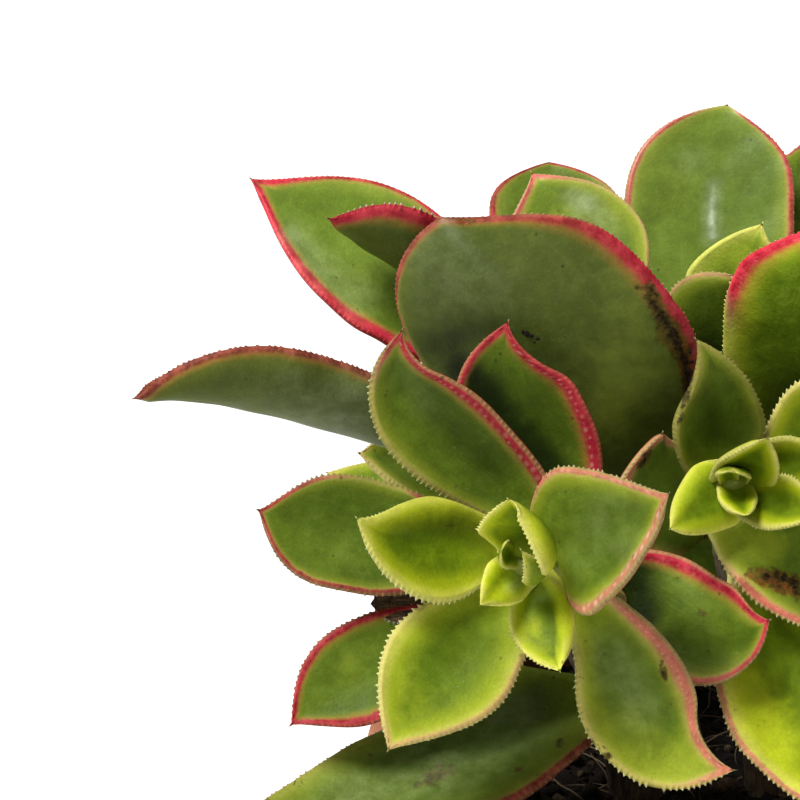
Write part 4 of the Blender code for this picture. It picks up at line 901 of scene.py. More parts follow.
# How each leaf looks. young: 0 old and dark .. 1 fresh yellow-green. red and width: amount and width in mm of the
# red band at the left and the right margin. rim: cream edge. tone: brightness. dull: red turned brown.
# flush: red spreading into the blade. roll: how far the left and the right margin turn back, or up if below 0.
# tooth: size of the teeth. yellow: width of the yellow zone in mm. grime: soil on the margins. gloss: shine.
# beads: pale dots along the rim. even: a smooth, cooler green. same: 1 where the underside looks like the upper side.
LEAVES["leaf_d01"].update(sharp=(3.0, 4.0))                                  # its point is a rounded one
PLAIN = dict(young=0.25, red=(0.5, 0.5), width=(0.7, 0.7), rim=0.25, tone=1.0, dull=0.0, flush=0.0, tooth=0.75, roll=(0.04, 0.04),
             yellow=3.0, grime=0.0, gloss=0.0, beads=0.12, even=0.25, same=0.0)
LOOK = {
    "leaf_a01": dict(beads=0.0, young=0.9, red=(0.0, 0.0), rim=0.35, tone=0.92, roll=(0.04, 0.42), tooth=(1.0, 0.5), yellow=(3.8, 4.6)),
    "leaf_a02": dict(even=0.4, young=0.52, red=(0.22, 0.1), width=(0.7, 0.8), rim=(0.45, 0.5), tone=1.0, roll=(0.08, 0.05), tooth=(0.55, 0.8), yellow=(5.2, 4.6)),
    "leaf_a03": dict(beads=(0.4, 0.85), even=0.5, point=0.62, reach=0.1, young=0.42, red=(0.36, 0.34), width=(0.8, 0.95), rim=(0.15, 0.25), tone=0.84, roll=(0.06, -0.14), tooth=(0.55, 0.45), yellow=3.0),
    "leaf_a08": dict(beads=(0.45, 0.1), even=0.5, young=0.38, red=(0.38, 0.12), width=(1.5, 0.5), rim=(0.2, 0.2), tone=1.08, roll=(-0.12, 0.02), yellow=3.6, grime=0.75, tooth=(0.25, 1.0)),
    "leaf_a09": dict(young=0.22, red=(0.60, 0.42), width=(1.5, 0.9), rim=0.1, tone=0.88, flush=0.1, roll=(-0.16, 0.0), grime=0.35, tooth=(0.25, 0.6)),
    "leaf_a10": dict(beads=(0.1, 0.45), even=0.4, young=0.2, red=(0.12, 0.58), width=(0.5, 1.15), rim=0.12, tone=0.74, yellow=2.4, roll=(0.02, -0.14), tooth=(0.9, 0.35)),
    "leaf_a11": dict(beads=(0.1, 0.5), young=0.12, red=(0.6, 0.75), width=(0.8, 1.4), rim=0.15, tone=0.80, flush=0.05, yellow=1.8, roll=(0.0, -0.15), tooth=(0.4, 0.3)),
    "leaf_a12": dict(beads=0.05, even=0.4, young=0.12, red=(0.5, 0.55), width=(0.5, 0.6), rim=0.15, tone=0.75, dull=0.45, flush=0.1, tooth=0.55, yellow=1.8),
    "leaf_a13": dict(beads=0.05, even=0.5, young=0.12, red=(0.75, 0.7), width=(1.0, 0.9), rim=0.1, tone=0.78, dull=0.25, flush=0.05, roll=(-0.08, 0.0), tooth=0.5, yellow=2.2),
    "leaf_a14": dict(even=0.5, young=0.15, red=(0.55, 0.15), width=(0.8, 0.4), rim=0.1, tone=0.8, dull=0.75, flush=0.2, tooth=0.5, grime=0.9, yellow=5.0),
    "leaf_b06": dict(beads=0.0, young=0.15, red=(0.12, 0.08), width=(0.5, 0.4), rim=0.08, tone=0.72, tooth=(0.30, 0.42), yellow=1.8),
    "leaf_b07": dict(even=0.6, young=0.30, red=(0.34, 0.40), width=(0.6, 1.0), rim=0.5, tone=1.15, dull=0.0, tooth=0.8, grime=0.35),
    "leaf_b08": dict(even=0.5, young=0.80, red=(0.25, 0.35), width=(0.6, 0.6), rim=0.3, tone=1.45, dull=0.2, yellow=6.0, grime=0.9),
    "leaf_b09": dict(beads=0.0, even=0.5, young=0.05, red=(0.36, 0.2), width=(2.2, 0.4), rim=0.1, tone=0.95, dull=0.0, flush=0.0, roll=(-0.1, 0.04)),
    "leaf_b10": dict(young=0.15, red=(0.2, 0.2), rim=0.3, tone=0.72),
    "leaf_b11": dict(young=0.7, red=(0.1, 0.1), rim=0.5, tone=0.95),
    "leaf_b12": dict(young=0.7, red=(0.15, 0.2), rim=0.5, tone=0.95),
    "leaf_c01": dict(beads=0.05, point=0.1, spine=0.0, young=0.0, red=(0.9, 0.55), width=(1.85, 0.4), rim=0.0, tone=0.92, flush=0.0, tooth=(0.5, 0.35)),
    "leaf_c03": dict(beads=0.05, point=0.5, reach=0.09, even=0.95, young=0.12, red=(0.85, 0.6), width=(1.6, 0.65), rim=0.0, tone=1.36, tooth=0.22, roll=(-0.05, 0.02), yellow=3.0, gloss=0.4, wave=0.12),
    "leaf_c04": dict(beads=0.0, young=0.05, red=(1.0, 0.6), width=(1.6, 0.9), rim=0.0, tone=0.80, flush=0.0, tooth=(1.1, 0.5), roll=(0.0, -0.22), even=0.5),
    "leaf_c05": dict(even=0.7, young=0.35, red=(0.42, 0.22), width=(1.5, 0.5), rim=(0.1, 0.45), tone=1.15, tooth=0.3, roll=(0.0, 0.1), gloss=1.0, yellow=3.0),
    "leaf_c06": dict(even=0.7, young=0.05, red=(0.6, 0.25), width=(0.8, 0.4), rim=0.1, tone=0.90, dull=0.3, tooth=0.1, spine=0.0, point=0.1),
    "leaf_c07": dict(young=0.35, red=(0.6, 0.6), width=(0.7, 0.7), tone=0.85, tooth=0.5),
    "leaf_c11": dict(young=0.0, red=(0.75, 0.7), width=(0.9, 0.8), rim=0.0, tone=0.88, dull=0.95, flush=0.15, tooth=0.40),
    "leaf_d01": dict(even=0.85, point=0.1, spine=0.2, young=0.15, red=(0.42, 0.55), width=(0.8, 0.8), rim=0.15, tone=1.10, tooth=0.22, gloss=1.0, yellow=3.0, wave=0.15),
    "leaf_d02": dict(even=1.0, beads=0.0, young=0.28, red=(0.06, 0.1), rim=(0.12, 0.1), tone=1.62, tooth=0.12, yellow=(4.5, 3.0)),
    "leaf_d03": dict(young=0.1, red=(0.5, 0.5), width=(0.4, 0.4), rim=0.1, tone=0.9, tooth=0.25),
    "leaf_d04": dict(same=0.8, young=0.15, red=(0.26, 0.26), width=(0.6, 0.6), rim=0.4, tone=0.80, tooth=0.5),
    "leaf_d05": dict(same=1.0, young=0.38, red=(0.9, 0.85), width=(1.1, 2.1), rim=0.0, tone=1.50, flush=0.0, tooth=0.5, yellow=5.0),
    "leaf_f01": dict(young=0.4, even=0.8, red=(0.12, 0.1), width=(0.4, 0.4), rim=0.3, tone=1.15, tooth=0.4),
    "leaf_f02": dict(young=0.3, even=0.8, red=(0.12, 0.16), width=(0.4, 0.5), rim=0.3, tone=1.05, tooth=0.4),
}

# Scars: runs of points on the plan, each with its radius in mm and its strength
SCARS = {
    "leaf_a08": [[(661, 662, 0.4, 0.5), (663, 670, 0.55, 0.62), (665, 680, 0.45, 0.6)], [(590, 742, 0.8, 0.45)], [(606, 757, 0.9, 0.5)]],
    "leaf_a13": [[(372, 727, 0.6, 0.4)]],
    "leaf_a14": [[(420, 783, 1.2, 0.45), (436, 775, 1.5, 0.58), (452, 768, 1.0, 0.50)], [(560, 742, 0.9, 0.5)], [(520, 770, 0.8, 0.5)], [(372, 757, 0.5, 0.5)]],
        "leaf_b07": [[(750, 574, 0.9, 0.50), (764, 577, 1.5, 0.60), (780, 582, 1.6, 0.62), (798, 590, 1.5, 0.6)], [(768, 574, 0.4, 0.8), (785, 576, 0.45, 0.8), (800, 582, 0.4, 0.75)]],
    "leaf_c01": [[(650, 284, 0.7, 0.62), (654, 300, 1.0, 0.70), (661, 317, 1.3, 0.72), (670, 332, 1.5, 0.72), (678, 346, 1.4, 0.72), (684, 360, 1.1, 0.70), (686, 376, 0.9, 0.70), (687, 392, 0.7, 0.70)],
                 [(652, 288, 0.4, 0.85), (657, 306, 0.5, 0.8), (667, 326, 0.6, 0.8), (678, 344, 0.5, 0.85), (684, 366, 0.5, 0.9)],
                 [(455, 222, 1.2, 0.36), (475, 218, 1.2, 0.36)], [(640, 285, 0.6, 0.5)]],
    "leaf_a09": [[(756, 610, 0.5, 0.5)], [(700, 612, 0.35, 0.5), (720, 617, 0.35, 0.5)]],
    "leaf_c03": [[(270, 236, 0.3, 0.7)]],
    "leaf_b09": [[(650, 452, 0.5, 0.5), (640, 466, 0.5, 0.6)]],
    "leaf_d06": [[(740, 250, 1.4, 0.6)]],
    "leaf_g05": [[(1110, 520, 1.6, 0.6)]],
    "leaf_e06": [[(1180, 690, 1.3, 0.6)]],
    "leaf_f05": [[(575, 500, 1.2, 0.6)]],
}

# Painted light and shade: green painted paler where light falls, or deeper where shade falls if below 0, in runs of the
# same kind
PAINTED_LIGHT_SHADE = {
    "leaf_a01": [[(400, 523, 2.2, -0.40), (430, 521, 2.6, -0.52), (462, 523, 2.6, -0.55), (488, 531, 2.4, -0.48)], [(425, 570, 3.0, 0.2), (460, 580, 3.0, 0.25)]],
    "leaf_a02": [[(455, 660, 3.6, -0.30), (490, 640, 3.0, -0.25)], [(400, 690, 3.0, 0.45), (420, 720, 3.0, 0.35)]],
    "leaf_a03": [[(600, 525, 4.6, -0.32), (610, 550, 4.6, -0.30)], [(640, 515, 3.4, -0.28)]],
    "leaf_a08": [[(600, 700, 3.4, 0.25), (635, 740, 4.0, 0.60), (690, 765, 3.0, 0.55)], [(652, 640, 1.4, 0.30), (672, 680, 1.6, 0.35), (700, 725, 1.6, 0.35)]],
    "leaf_a09": [[(648, 545, 2.2, -0.70), (636, 575, 3.2, -0.95), (640, 610, 3.4, -0.95)], [(700, 652, 4.0, -0.50), (675, 640, 3.6, -0.55)], [(735, 655, 2.2, 0.2)]],
    "leaf_a10": [[(425, 385, 3.0, -0.34), (445, 420, 3.6, -0.52), (490, 465, 3.8, -0.58)]],
    "leaf_a11": [[(468, 372, 2.0, -0.80), (488, 396, 3.2, -0.96), (508, 425, 3.8, -0.98), (532, 452, 3.8, -0.98), (555, 475, 3.0, -0.96)], [(535, 400, 3.6, -0.46), (560, 440, 3.6, -0.46)]],
    "leaf_a12": [[(285, 500, 2.6, -0.28), (325, 510, 3.4, -0.28), (365, 520, 3.4, -0.25)]],
    "leaf_a13": [[(345, 670, 2.6, 0.3), (370, 650, 2.6, 0.2)]],
    "leaf_a14": [[(545, 700, 4.0, -0.55), (520, 720, 4.0, -0.35)], [(320, 780, 4.0, 0.25), (380, 790, 4.0, 0.25)]],
    "leaf_b06": [[(705, 400, 3.0, -0.40), (715, 430, 3.4, -0.50)]],
    "leaf_b07": [[(742, 543, 2.6, 0.60), (765, 548, 2.8, 0.75)], [(790, 560, 2.6, -0.3)]],
    "heart_a3": [[(492, 596, 1.6, 0.75), (505, 592, 1.8, 0.75)]],
    "heart_b2": [[(785, 465, 2.6, -0.30)]],
    "leaf_b08": [[(732, 582, 2.0, -0.75), (742, 606, 2.2, -0.6)], [(735, 650, 2.6, 0.2), (755, 690, 3.4, 0.5), (775, 740, 4.0, 0.8)]],
    "leaf_c01": [[(420, 350, 3.0, -0.62), (445, 345, 3.0, -0.60), (470, 325, 2.4, -0.55), (500, 325, 2.0, -0.45)], [(630, 300, 5.0, 0.35), (630, 360, 6.0, 0.58), (610, 410, 5.0, 0.65)], [(465, 372, 3.0, -0.95), (490, 400, 3.6, -0.97), (520, 435, 3.6, -0.97), (540, 460, 3.0, -0.9)]],
    "leaf_c03": [[(285, 195, 2.6, -0.28), (320, 205, 3.0, -0.25), (350, 235, 3.0, -0.15)], [(330, 275, 3.0, 0.2), (375, 310, 3.0, 0.25)]],
    "leaf_c11": [[(180, 372, 4.0, -0.22), (230, 380, 4.0, -0.22)]],
    "leaf_c05": [[(565, 215, 3.0, 0.3), (600, 215, 3.6, 0.45)]],
    "leaf_d01": [[(665, 150, 4.0, 0.20), (665, 200, 4.0, 0.22)], [(748, 170, 5.0, -0.28)]],
    "leaf_d02": [[(735, 255, 3.0, 0.5)]],
    "leaf_d04": [[(705, 320, 3.0, -0.45), (712, 345, 3.4, -0.85), (715, 365, 3.0, -0.95)]],
    # painted light on the turned-back right side of heart_a1, and a painted shadow line beside it
    "heart_a1": [[(528, 628, 2.0, 0.5), (545, 648, 1.6, 0.35)], [(563, 572, 0.8, 0.8), (565, 600, 0.9, 0.95), (563, 632, 0.8, 0.9)], [(548, 590, 0.9, -0.35), (551, 620, 0.8, -0.35), (556, 645, 0.6, -0.3)]],
    "heart_a2": [[(492, 525, 2.0, 0.5), (505, 545, 1.8, 0.35)]],
    "leaf_d05": [[(745, 290, 3.0, 0.5), (735, 320, 3.0, 0.5)], [(790, 400, 5.0, -0.6), (770, 430, 4.0, -0.7)]],
}
# Wax on the skin, and painted sheen and highlights in the strongest runs
WAX_AND_HIGHLIGHTS = {
    "leaf_a03": [[(575, 560, 3.0, 0.08), (610, 520, 4.5, 0.12), (630, 560, 4.0, 0.10)]],
    "leaf_a08": [[(610, 660, 3.0, 0.25), (640, 710, 3.0, 0.25)]],
    "leaf_a10": [[(410, 370, 2.0, 0.10), (425, 400, 2.0, 0.10)]],
    "leaf_a14": [[(430, 770, 4.0, 0.35), (520, 720, 4.0, 0.35), (350, 800, 4.0, 0.3)]],
    "leaf_c01": [[(430, 250, 4.0, 0.16), (460, 290, 4.0, 0.18), (500, 310, 3.0, 0.12)], [(445, 222, 1.0, 0.40), (462, 248, 1.0, 0.42), (482, 274, 1.0, 0.38), (505, 300, 0.9, 0.26), (522, 318, 0.8, 0.15)]],
    "leaf_c03": [[(290, 235, 1.6, 0.35), (320, 270, 2.0, 0.35), (360, 300, 2.2, 0.30)]],
    "leaf_c11": [[(300, 400, 4.0, 0.25), (345, 410, 4.0, 0.45)]],
    # painted highlight: a whitish glare on leaf_c05
    "leaf_c05": [[(572, 197, 1.2, 0.5), (588, 206, 1.8, 0.62), (602, 222, 1.4, 0.45)]],
    # painted highlight: a bright streak down the middle of leaf_d01
    "leaf_d01": [[(713, 182, 0.4, 0.8), (713, 200, 0.55, 1.0), (711, 216, 0.7, 1.0), (714, 236, 0.9, 1.0)], [(690, 160, 2.0, 0.2)]],
    "heart_a3": [[(512, 588, 0.9, 0.3), (522, 578, 0.8, 0.25)]],
}
# Soil stuck to the skin
EARTH = {
    "leaf_a08": [[(588, 735, 1.0, 0.5), (604, 750, 1.2, 0.6), (612, 762, 0.8, 0.5)], [(646, 752, 0.5, 0.4)]],
    "leaf_a09": [[(735, 608, 0.8, 0.45), (748, 612, 0.9, 0.55), (758, 618, 0.7, 0.5)], [(695, 612, 0.6, 0.35), (715, 616, 0.6, 0.35)]],
    "leaf_a14": [[(412, 775, 1.6, 0.45), (432, 770, 2.0, 0.62), (455, 760, 1.6, 0.5)], [(500, 735, 2.4, 0.35), (540, 720, 2.4, 0.35)], [(470, 790, 2.0, 0.35)], [(340, 810, 1.8, 0.3)]],
    "leaf_b07": [[(752, 572, 1.2, 0.5), (772, 574, 1.6, 0.6), (790, 580, 1.6, 0.6)]],
    "leaf_b08": [[(724, 692, 1.0, 0.6), (735, 705, 1.2, 0.6), (728, 722, 0.9, 0.5)], [(760, 655, 1.4, 0.45), (775, 668, 1.4, 0.4)], [(720, 745, 0.8, 0.5), (735, 765, 0.9, 0.5)]],
    "leaf_b06": [[(696, 343, 0.5, 0.75), (694, 356, 0.6, 0.85), (691, 370, 0.8, 0.95), (688, 385, 0.8, 0.95), (685, 400, 0.7, 0.9), (681, 416, 0.6, 0.8), (677, 432, 0.5, 0.6)]],
    "leaf_b09": [[(651, 448, 0.5, 0.6), (642, 456, 0.6, 0.7), (636, 464, 0.5, 0.5)]],
    "leaf_c01": [[(655, 300, 1.2, 0.5), (665, 320, 1.4, 0.55), (676, 342, 1.3, 0.6), (684, 365, 1.1, 0.7), (688, 385, 0.9, 0.8)]],
}

# Margins whose red has turned brown
FADED = {
    "leaf_b07": [[(752, 580, 1.4, 0.9), (768, 586, 1.6, 0.95), (785, 592, 1.6, 0.9)]],
    "leaf_c01": [[(438, 222, 2.4, 0.9), (470, 214, 2.4, 0.9), (510, 211, 2.4, 0.90), (545, 211, 2.4, 0.8), (575, 216, 2.0, 0.6), (598, 227, 1.6, 0.35)], [(400, 290, 3.0, 0.8), (408, 250, 3.0, 0.8), (425, 228, 2.4, 0.9)], [(690, 345, 1.6, 0.8), (690, 370, 1.6, 0.9)]],
    "leaf_c03": [[(300, 172, 2.0, 0.35), (350, 182, 2.0, 0.35), (400, 200, 2.0, 0.35)], [(255, 180, 1.4, 0.5)]],
    "leaf_c06": [[(492, 190, 3.0, 0.8), (500, 175, 3.0, 0.8)]],
}


# Stretches where the red band is thin or missing
THIN = {
    "leaf_d05": [[(722, 288, 1.6, 0.45), (721, 306, 1.8, 0.85), (722, 325, 2.0, 0.95), (726, 350, 2.4, 0.95)]],
    "leaf_b07": [[(708, 535, 1.6, 0.8), (722, 556, 1.6, 0.8), (736, 568, 1.2, 0.5)]],
    "leaf_c01": [[(500, 211, 1.8, 0.35), (530, 211, 1.8, 0.4), (560, 213, 1.8, 0.35), (590, 222, 1.6, 0.25)]],
    "leaf_d01": [[(700, 108, 1.6, 0.5), (718, 105, 2.0, 0.85), (730, 107, 1.4, 0.7)]],
    "leaf_a12": [[(330, 474, 2.0, 0.4), (365, 475, 2.4, 0.75), (400, 482, 2.4, 0.85)]],
}


def spread(runs):
    """Points every third of a radius along each run."""
    out = []
    for run in runs:
        out.append(run[0])
        for a, c in zip(run, run[1:]):
            n = max(1, int(math.hypot(c[0] - a[0], c[1] - a[1]) * STEP / (0.45 * a[2])))
            out.extend(tuple(u + (v - u) * (i + 1) / n for u, v in zip(a, c)) for i in range(n))
    return out


COLS = np.sin(np.linspace(-0.5 * math.pi, 0.5 * math.pi, 21))[1:-1]         # columns between the two margins


def tooth_profile(u):
    """Height of a tooth, over one tooth's length of margin."""
    rise = np.clip((u - 0.22) / 0.52, 0, 1) ** 1.25
    fall = np.clip((0.96 - u) / 0.22, 0, 1)
    return rise * fall


def leaf_mesh(name, spec, look, seed, pitch=0.75, fine=7, tall=0.52, inside=1.7):
    """One leaf: two faces on a coarse grid, and along both margins a fine band that carries the teeth."""
    b = Blade(spec)
    rng = np.random.default_rng(seed)
    g = look.get
    # rows: one to a tooth, even along the margin
    td = np.linspace(0.0, 1.0, 400)
    mm, _ = b.surface(td, np.array([-1.0, 1.0]))
    arc = np.concatenate([[0.0], np.cumsum(np.linalg.norm(np.diff(mm, axis=0), axis=2).mean(1))])
    rows = max(12, int(round(arc[-1] / pitch)))
    tip_cut = 0.35 / arc[-1]
    tf = np.interp(np.linspace(0.0, 1.0 - tip_cut, (rows - 1) * fine + 1), arc / arc[-1], td)
    t0 = -inside / b.length
    # the first rows run on into the stem
    lead = 1.0 - tf / tf[2 * fine]
    tf = np.where(tf < tf[2 * fine], tf + t0 * np.clip(lead, 0, 1), tf)
    tr = tf[::fine]
    nf, nr = len(tf), len(tr)

    def width(t, side):
        h = b.half_width(t, side) * b.halves[0 if side < 0 else 1]
        return h * (1.0 - g("point", 0.34) * np.exp(-(1.0 - np.clip(t, 0, 1)) / g("reach", 0.07)))

    phase = rng.uniform(0, 6.28, 8)
    wave_len = rng.uniform(9.0, 15.0)
    wave_amp = g("wave", 0.30) * min(1.0, b.w / 16.0)

    def lift(t, s, x_mm, y_mm):
        """Waves of the margin and slow unevenness of the blade, in mm along its normal."""
        w = wave_amp * np.abs(s) ** 3 * np.sin(2 * math.pi * y_mm / wave_len + phase[0] + (s > 0) * phase[1])
        w = w + 0.10 * np.sin(0.55 * x_mm + phase[2]) * np.sin(0.42 * y_mm + phase[3]) + 0.06 * np.sin(0.9 * x_mm - 0.7 * y_mm + phase[4])
        return w * np.clip(1.2 - t, 0, 1) ** 0.5 * smooth(0.0, 0.2, t)

    rolls = g("roll", (0.0, 0.0))

    def section(t, s, right):
        """Across and up in the leaf's section."""
        th = b.thickness(t)[:, None]
        h = np.where(right, width(t, 1.0)[:, None], width(t, -1.0)[:, None])
        cup = np.where(right, b.cup[1], b.cup[0])
        cup = np.sign(cup) * np.minimum(np.maximum(np.abs(cup), 1e-3), np.maximum(h, 1e-3) / (1.5 * th))
        ang = cup * s
        x = h * np.sin(ang) / cup
        z = h * (1.0 - np.cos(ang)) / cup + h * b.fold * (np.sqrt(s * s + 0.03) - math.sqrt(0.03))
        r = np.where(right, rolls[1], rolls[0]) * (smooth(0.0, 0.25, t) * (1.0 - 0.6 * smooth(0.82, 1.0, t)))[:, None]
        k = np.clip((np.abs(s) - 0.42) / 0.58, 0.0, 2.0) ** 2
        return x - 0.30 * np.maximum(r, 0.0) * h * k * np.sign(s), z - r * h * k, h

    def sheet(t, s):
        """Middle surface, normal and outward direction at arrays t (n) by s (n, m); s may differ from row to row."""
        pos, tan, nor, side = b.frame(t)
        right = s > 0
        x, z, h = section(t, s, right)
        x1, z1, _ = section(t, s + 0.004, right)
        x0, z0, _ = section(t, s - 0.004, right)
        dx, dz = x1 - x0, z1 - z0
        ln = np.sqrt(dx * dx + dz * dz) + 1e-9
        nrm = (-dz / ln)[..., None] * side[:, None, :] + (dx / ln)[..., None] * nor[:, None, :]
        out = (dx / ln)[..., None] * side[:, None, :] + (dz / ln)[..., None] * nor[:, None, :]
        z_add = lift(t[:, None], s, h * s, t[:, None] * b.length)
        mid = pos[:, None, :] + x[..., None] * side[:, None, :] + z[..., None] * nor[:, None, :] + z_add[..., None] * nrm
        return mid, nrm, out, h, tan

    def halves(t, s, h, e):
        """Height of the upper and the lower face over the middle surface."""
        th = b.thickness(t)[:, None] * np.minimum(1.0, h / 2.2)
        rad = np.minimum(g("blunt", 0.25) * th, 0.30 * h)
        q = 1.0 - np.abs(s) ** 2.3
        rounded = np.sqrt(np.clip(1.0 - (1.0 - np.clip(e / np.maximum(rad, 1e-3), 0, 1)) ** 2, 0, 1))
        groove = 0.16 * np.exp(-((s * h) / 0.9) ** 2) * smooth(0.0, 0.25, t[:, None]) * smooth(1.0, 0.6, t[:, None])
        up = rad * rounded + np.maximum(0.36 * th - rad, 0.0) * q - groove * np.minimum(1.0, th / 2.0)
        keel = g("keel", 0.12) * np.exp(-((s * h) / 0.8) ** 2) * smooth(0.0, 0.3, t[:, None])
        down = rad * rounded + np.maximum(0.64 * th - rad, 0.0) * q + keel * np.minimum(1.0, th / 2.0)
        return up, down

    verts, A, B, C, D, E, F, G, UV = [], [], [], [], [], [], [], [], []

    def pair(key):
        v = g(key)
        return v if isinstance(v, tuple) else (v, v)

    scars = spread(SCARS.get(name, ()))
    counter = [0]
    seed_u = float(seed % 97) * 7.3

    def add(points, e, t, s, h, upper):
        """Stores points (n, m, 3) with their attributes; gives their indices (n, m)."""
        n, m = points.shape[:2]
        k = counter[0] + np.arange(n * m).reshape(n, m)
        counter[0] += n * m
        t2 = np.broadcast_to(t[:, None], (n, m))
        full = lambda v: np.broadcast_to(v, (n, m)).ravel()
        verts.append(points.reshape(-1, 3))
        A.append(np.stack([full(e), t2.ravel(), full(s)], 1))
        side_right = (full(s) > 0)
        amount = np.where(side_right, g("red")[1], g("red")[0])
        wide = np.where(side_right, g("width")[1], g("width")[0])
        # the two bands meet round the tip, and fade out towards the base
        near_tip = smooth(0.80, 1.0, t2.ravel())
        amount = amount * (1 - near_tip) + near_tip * max(g("red"))
        wide = wide * (0.55 + 0.45 * smooth(0.0, 0.35, t2.ravel())) * (1 - near_tip) + near_tip * (0.5 + 0.5 * max(g("width")))
        amount = amount * smooth(-0.02, 0.22, t2.ravel())
        q = plan_px(points.reshape(-1, 3))
        thin = np.zeros(n * m)
        for px, py, rad, strength in spread(THIN.get(name, ())):
            thin = np.maximum(thin, strength * np.exp(-0.9 * (np.hypot(q[:, 0] - px, q[:, 1] - py) * STEP / rad) ** 2))
        amount = amount * (1.0 - thin)
        wide = wide * (1.0 - 0.6 * thin)
        B.append(np.stack([full(upper), amount, wide], 1))
        scar = np.zeros(n * m)
        for px, py, rad, strength in scars:
            dist = np.hypot(q[:, 0] - px, q[:, 1] - py) * STEP / rad
            scar = np.maximum(scar, strength * np.exp(-0.9 * dist * dist))
        one = np.ones(n * m)
        C.append(np.stack([g("young") * one, np.where(side_right, pair("rim")[1], pair("rim")[0]), scar], 1))
        D.append(np.stack([g("tone") * one, g("dull") * one, g("flush") * one], 1))
        limit = 0.62 * 0.5 * b.w
        E.append(np.stack([g("grime") * one, g("gloss") * one, np.where(side_right, min(pair("yellow")[1], limit), min(pair("yellow")[0], limit))], 1))
        marks = []
        for table in (PAINTED_LIGHT_SHADE, WAX_AND_HIGHLIGHTS, EARTH, FADED):
            total = np.zeros(n * m)
            for px, py, rad, strength in spread(table.get(name, ())):
                dist = np.hypot(q[:, 0] - px, q[:, 1] - py) * STEP / rad
                part = strength * np.exp(-0.9 * dist * dist)
                total = np.where(np.abs(part) > np.abs(total), part, total)
            marks.append(total)
        F.append(np.stack(marks[:3], 1))
        G.append(np.stack([np.where(side_right, pair("beads")[1], pair("beads")[0]), g("even") * one, marks[3]], 1))
        UV.append(np.stack([full(s * h) + seed_u, t2.ravel() * b.length, full(seed_u)], 1))
        return k

    # coarse columns, between the margins' inner lines
    hl, hr = width(tr, -1.0), width(tr, 1.0)
    sl = np.maximum(1.0 - 0.42 / np.maximum(hl, 1e-3), 0.54)
    sr = np.maximum(1.0 - 0.42 / np.maximum(hr, 1e-3), 0.54)
    s_in = np.where(COLS[None, :] < 0, COLS[None, :] * sl[:, None], COLS[None, :] * sr[:, None])
    mid, nrm, _, h, _ = sheet(tr, s_in)
    e_in = (1.0 - np.abs(s_in)) * h
    up, down = halves(tr, s_in, h, e_in)
    top = add(mid + up[..., None] * nrm, e_in, tr, s_in, h, 1.0)
    bot = add(mid - down[..., None] * nrm, e_in, tr, s_in, h, g("same"))

    # fine margins
    strips = {}
    ends = {}
    for sign in (-1.0, 1.0):
        hw = width(tf, sign)
        s_line = np.stack([np.full(nf, sign)] + [sign * np.maximum(1.0 - d / np.maximum(hw, 1e-3), 1.0 - 1.1 * d) for d in (0.022, 0.14, 0.42)], 1)
        mid, nrm, out, h, tan = sheet(tf, s_line)
        e = (1.0 - np.abs(s_line)) * h
        up, down = halves(tf, s_line, h, e)
        run = np.concatenate([[0.0], np.cumsum(np.linalg.norm(np.diff(mid[:, 0], axis=0), axis=1))])
        count = int(run[-1] / pitch) + 3
        jitter = np.cumsum(rng.uniform(0.82, 1.18, count)) * pitch
        jitter = np.concatenate([[0.0], jitter])
        u_all = np.interp(run, jitter, np.arange(count + 1))
        idx = np.clip(u_all.astype(int), 0, count)
        size = np.clip(rng.normal(1.0, 0.20, count + 1), 0.35, 1.5) * (rng.uniform(0, 1, count + 1) > 0.05)
        prof = tooth_profile(u_all - idx)
        fade = smooth(0.03, 0.20, tf) * (0.55 + 0.45 * smooth(1.0, 0.86, tf)) * np.clip(hw / 1.2, 0, 1)
        high = tall * pair("tooth")[0 if sign < 0 else 1] * prof * size[idx] * fade
        lean = 0.42 * high
        outward = out[:, 0] * sign
        push = high[:, None] * outward + lean[:, None] * tan
        bend = (rng.normal(0, 0.22, count + 1)[idx] * high)[:, None] * nrm[:, 0]
        tip_line = mid[:, 0] + push + bend
        k0 = add(tip_line[:, None], -high[:, None], tf, s_line[:, :1], h[:, :1], 0.5)
        k = [k0[:, 0]]
        for j, part, up_v, low_v in ((1, 0.30, 0.75, 0.25), (2, 0.04, 0.95, 0.05), (3, 0.0, 1.0, 0.0)):
            for face, height, upv in ((1.0, up, up_v), (-1.0, down, low_v)):
                pts = mid[:, j] + face * height[:, j][:, None] * nrm[:, j] + part * push
                kk = add(pts[:, None], e[:, j:j + 1] - part * high[:, None] * 0.6, tf, s_line[:, j:j + 1], h[:, j:j + 1], upv)
                k.append(kk[:, 0])
        strips[sign] = k                     # the rim, then from it inwards: top, bottom, top, bottom, top, bottom

    faces = []

    def quads(a, c, flip):
        """Quad strip between two lines of indices."""
        if flip:
            f = np.stack([a[:-1], c[:-1], c[1:], a[1:]], 1)
        else:
            f = np.stack([a[:-1], a[1:], c[1:], c[:-1]], 1)
        faces.extend(f.tolist())

    # seen from above with the tip away: left is -1. Top columns run left to right.
    for j in range(len(COLS) - 1):
        quads(top[:, j], top[:, j + 1], True)
        quads(bot[:, j], bot[:, j + 1], False)
    L, R = strips[-1.0], strips[1.0]
    for k, flip in ((L, False), (R, True)):
        quads(k[0], k[1], not flip)
        quads(k[1], k[3], not flip)
        quads(k[3], k[5], not flip)
        quads(k[0], k[2], flip)
        quads(k[2], k[4], flip)
        quads(k[4], k[6], flip)

    def stitch(line, column, left_to_right):
        """Polygons between a fine line and a coarse column."""
        for i in range(nr - 1):
            f = line[i * fine:(i + 1) * fine + 1]
            poly = [int(column[i])] + [int(v) for v in f] + [int(column[i + 1])]
            faces.append(poly if left_to_right else poly[::-1])

    stitch(L[5], top[:, 0], False)
    stitch(R[5], top[:, -1], True)
    stitch(L[6], bot[:, 0], True)
    stitch(R[6], bot[:, -1], False)

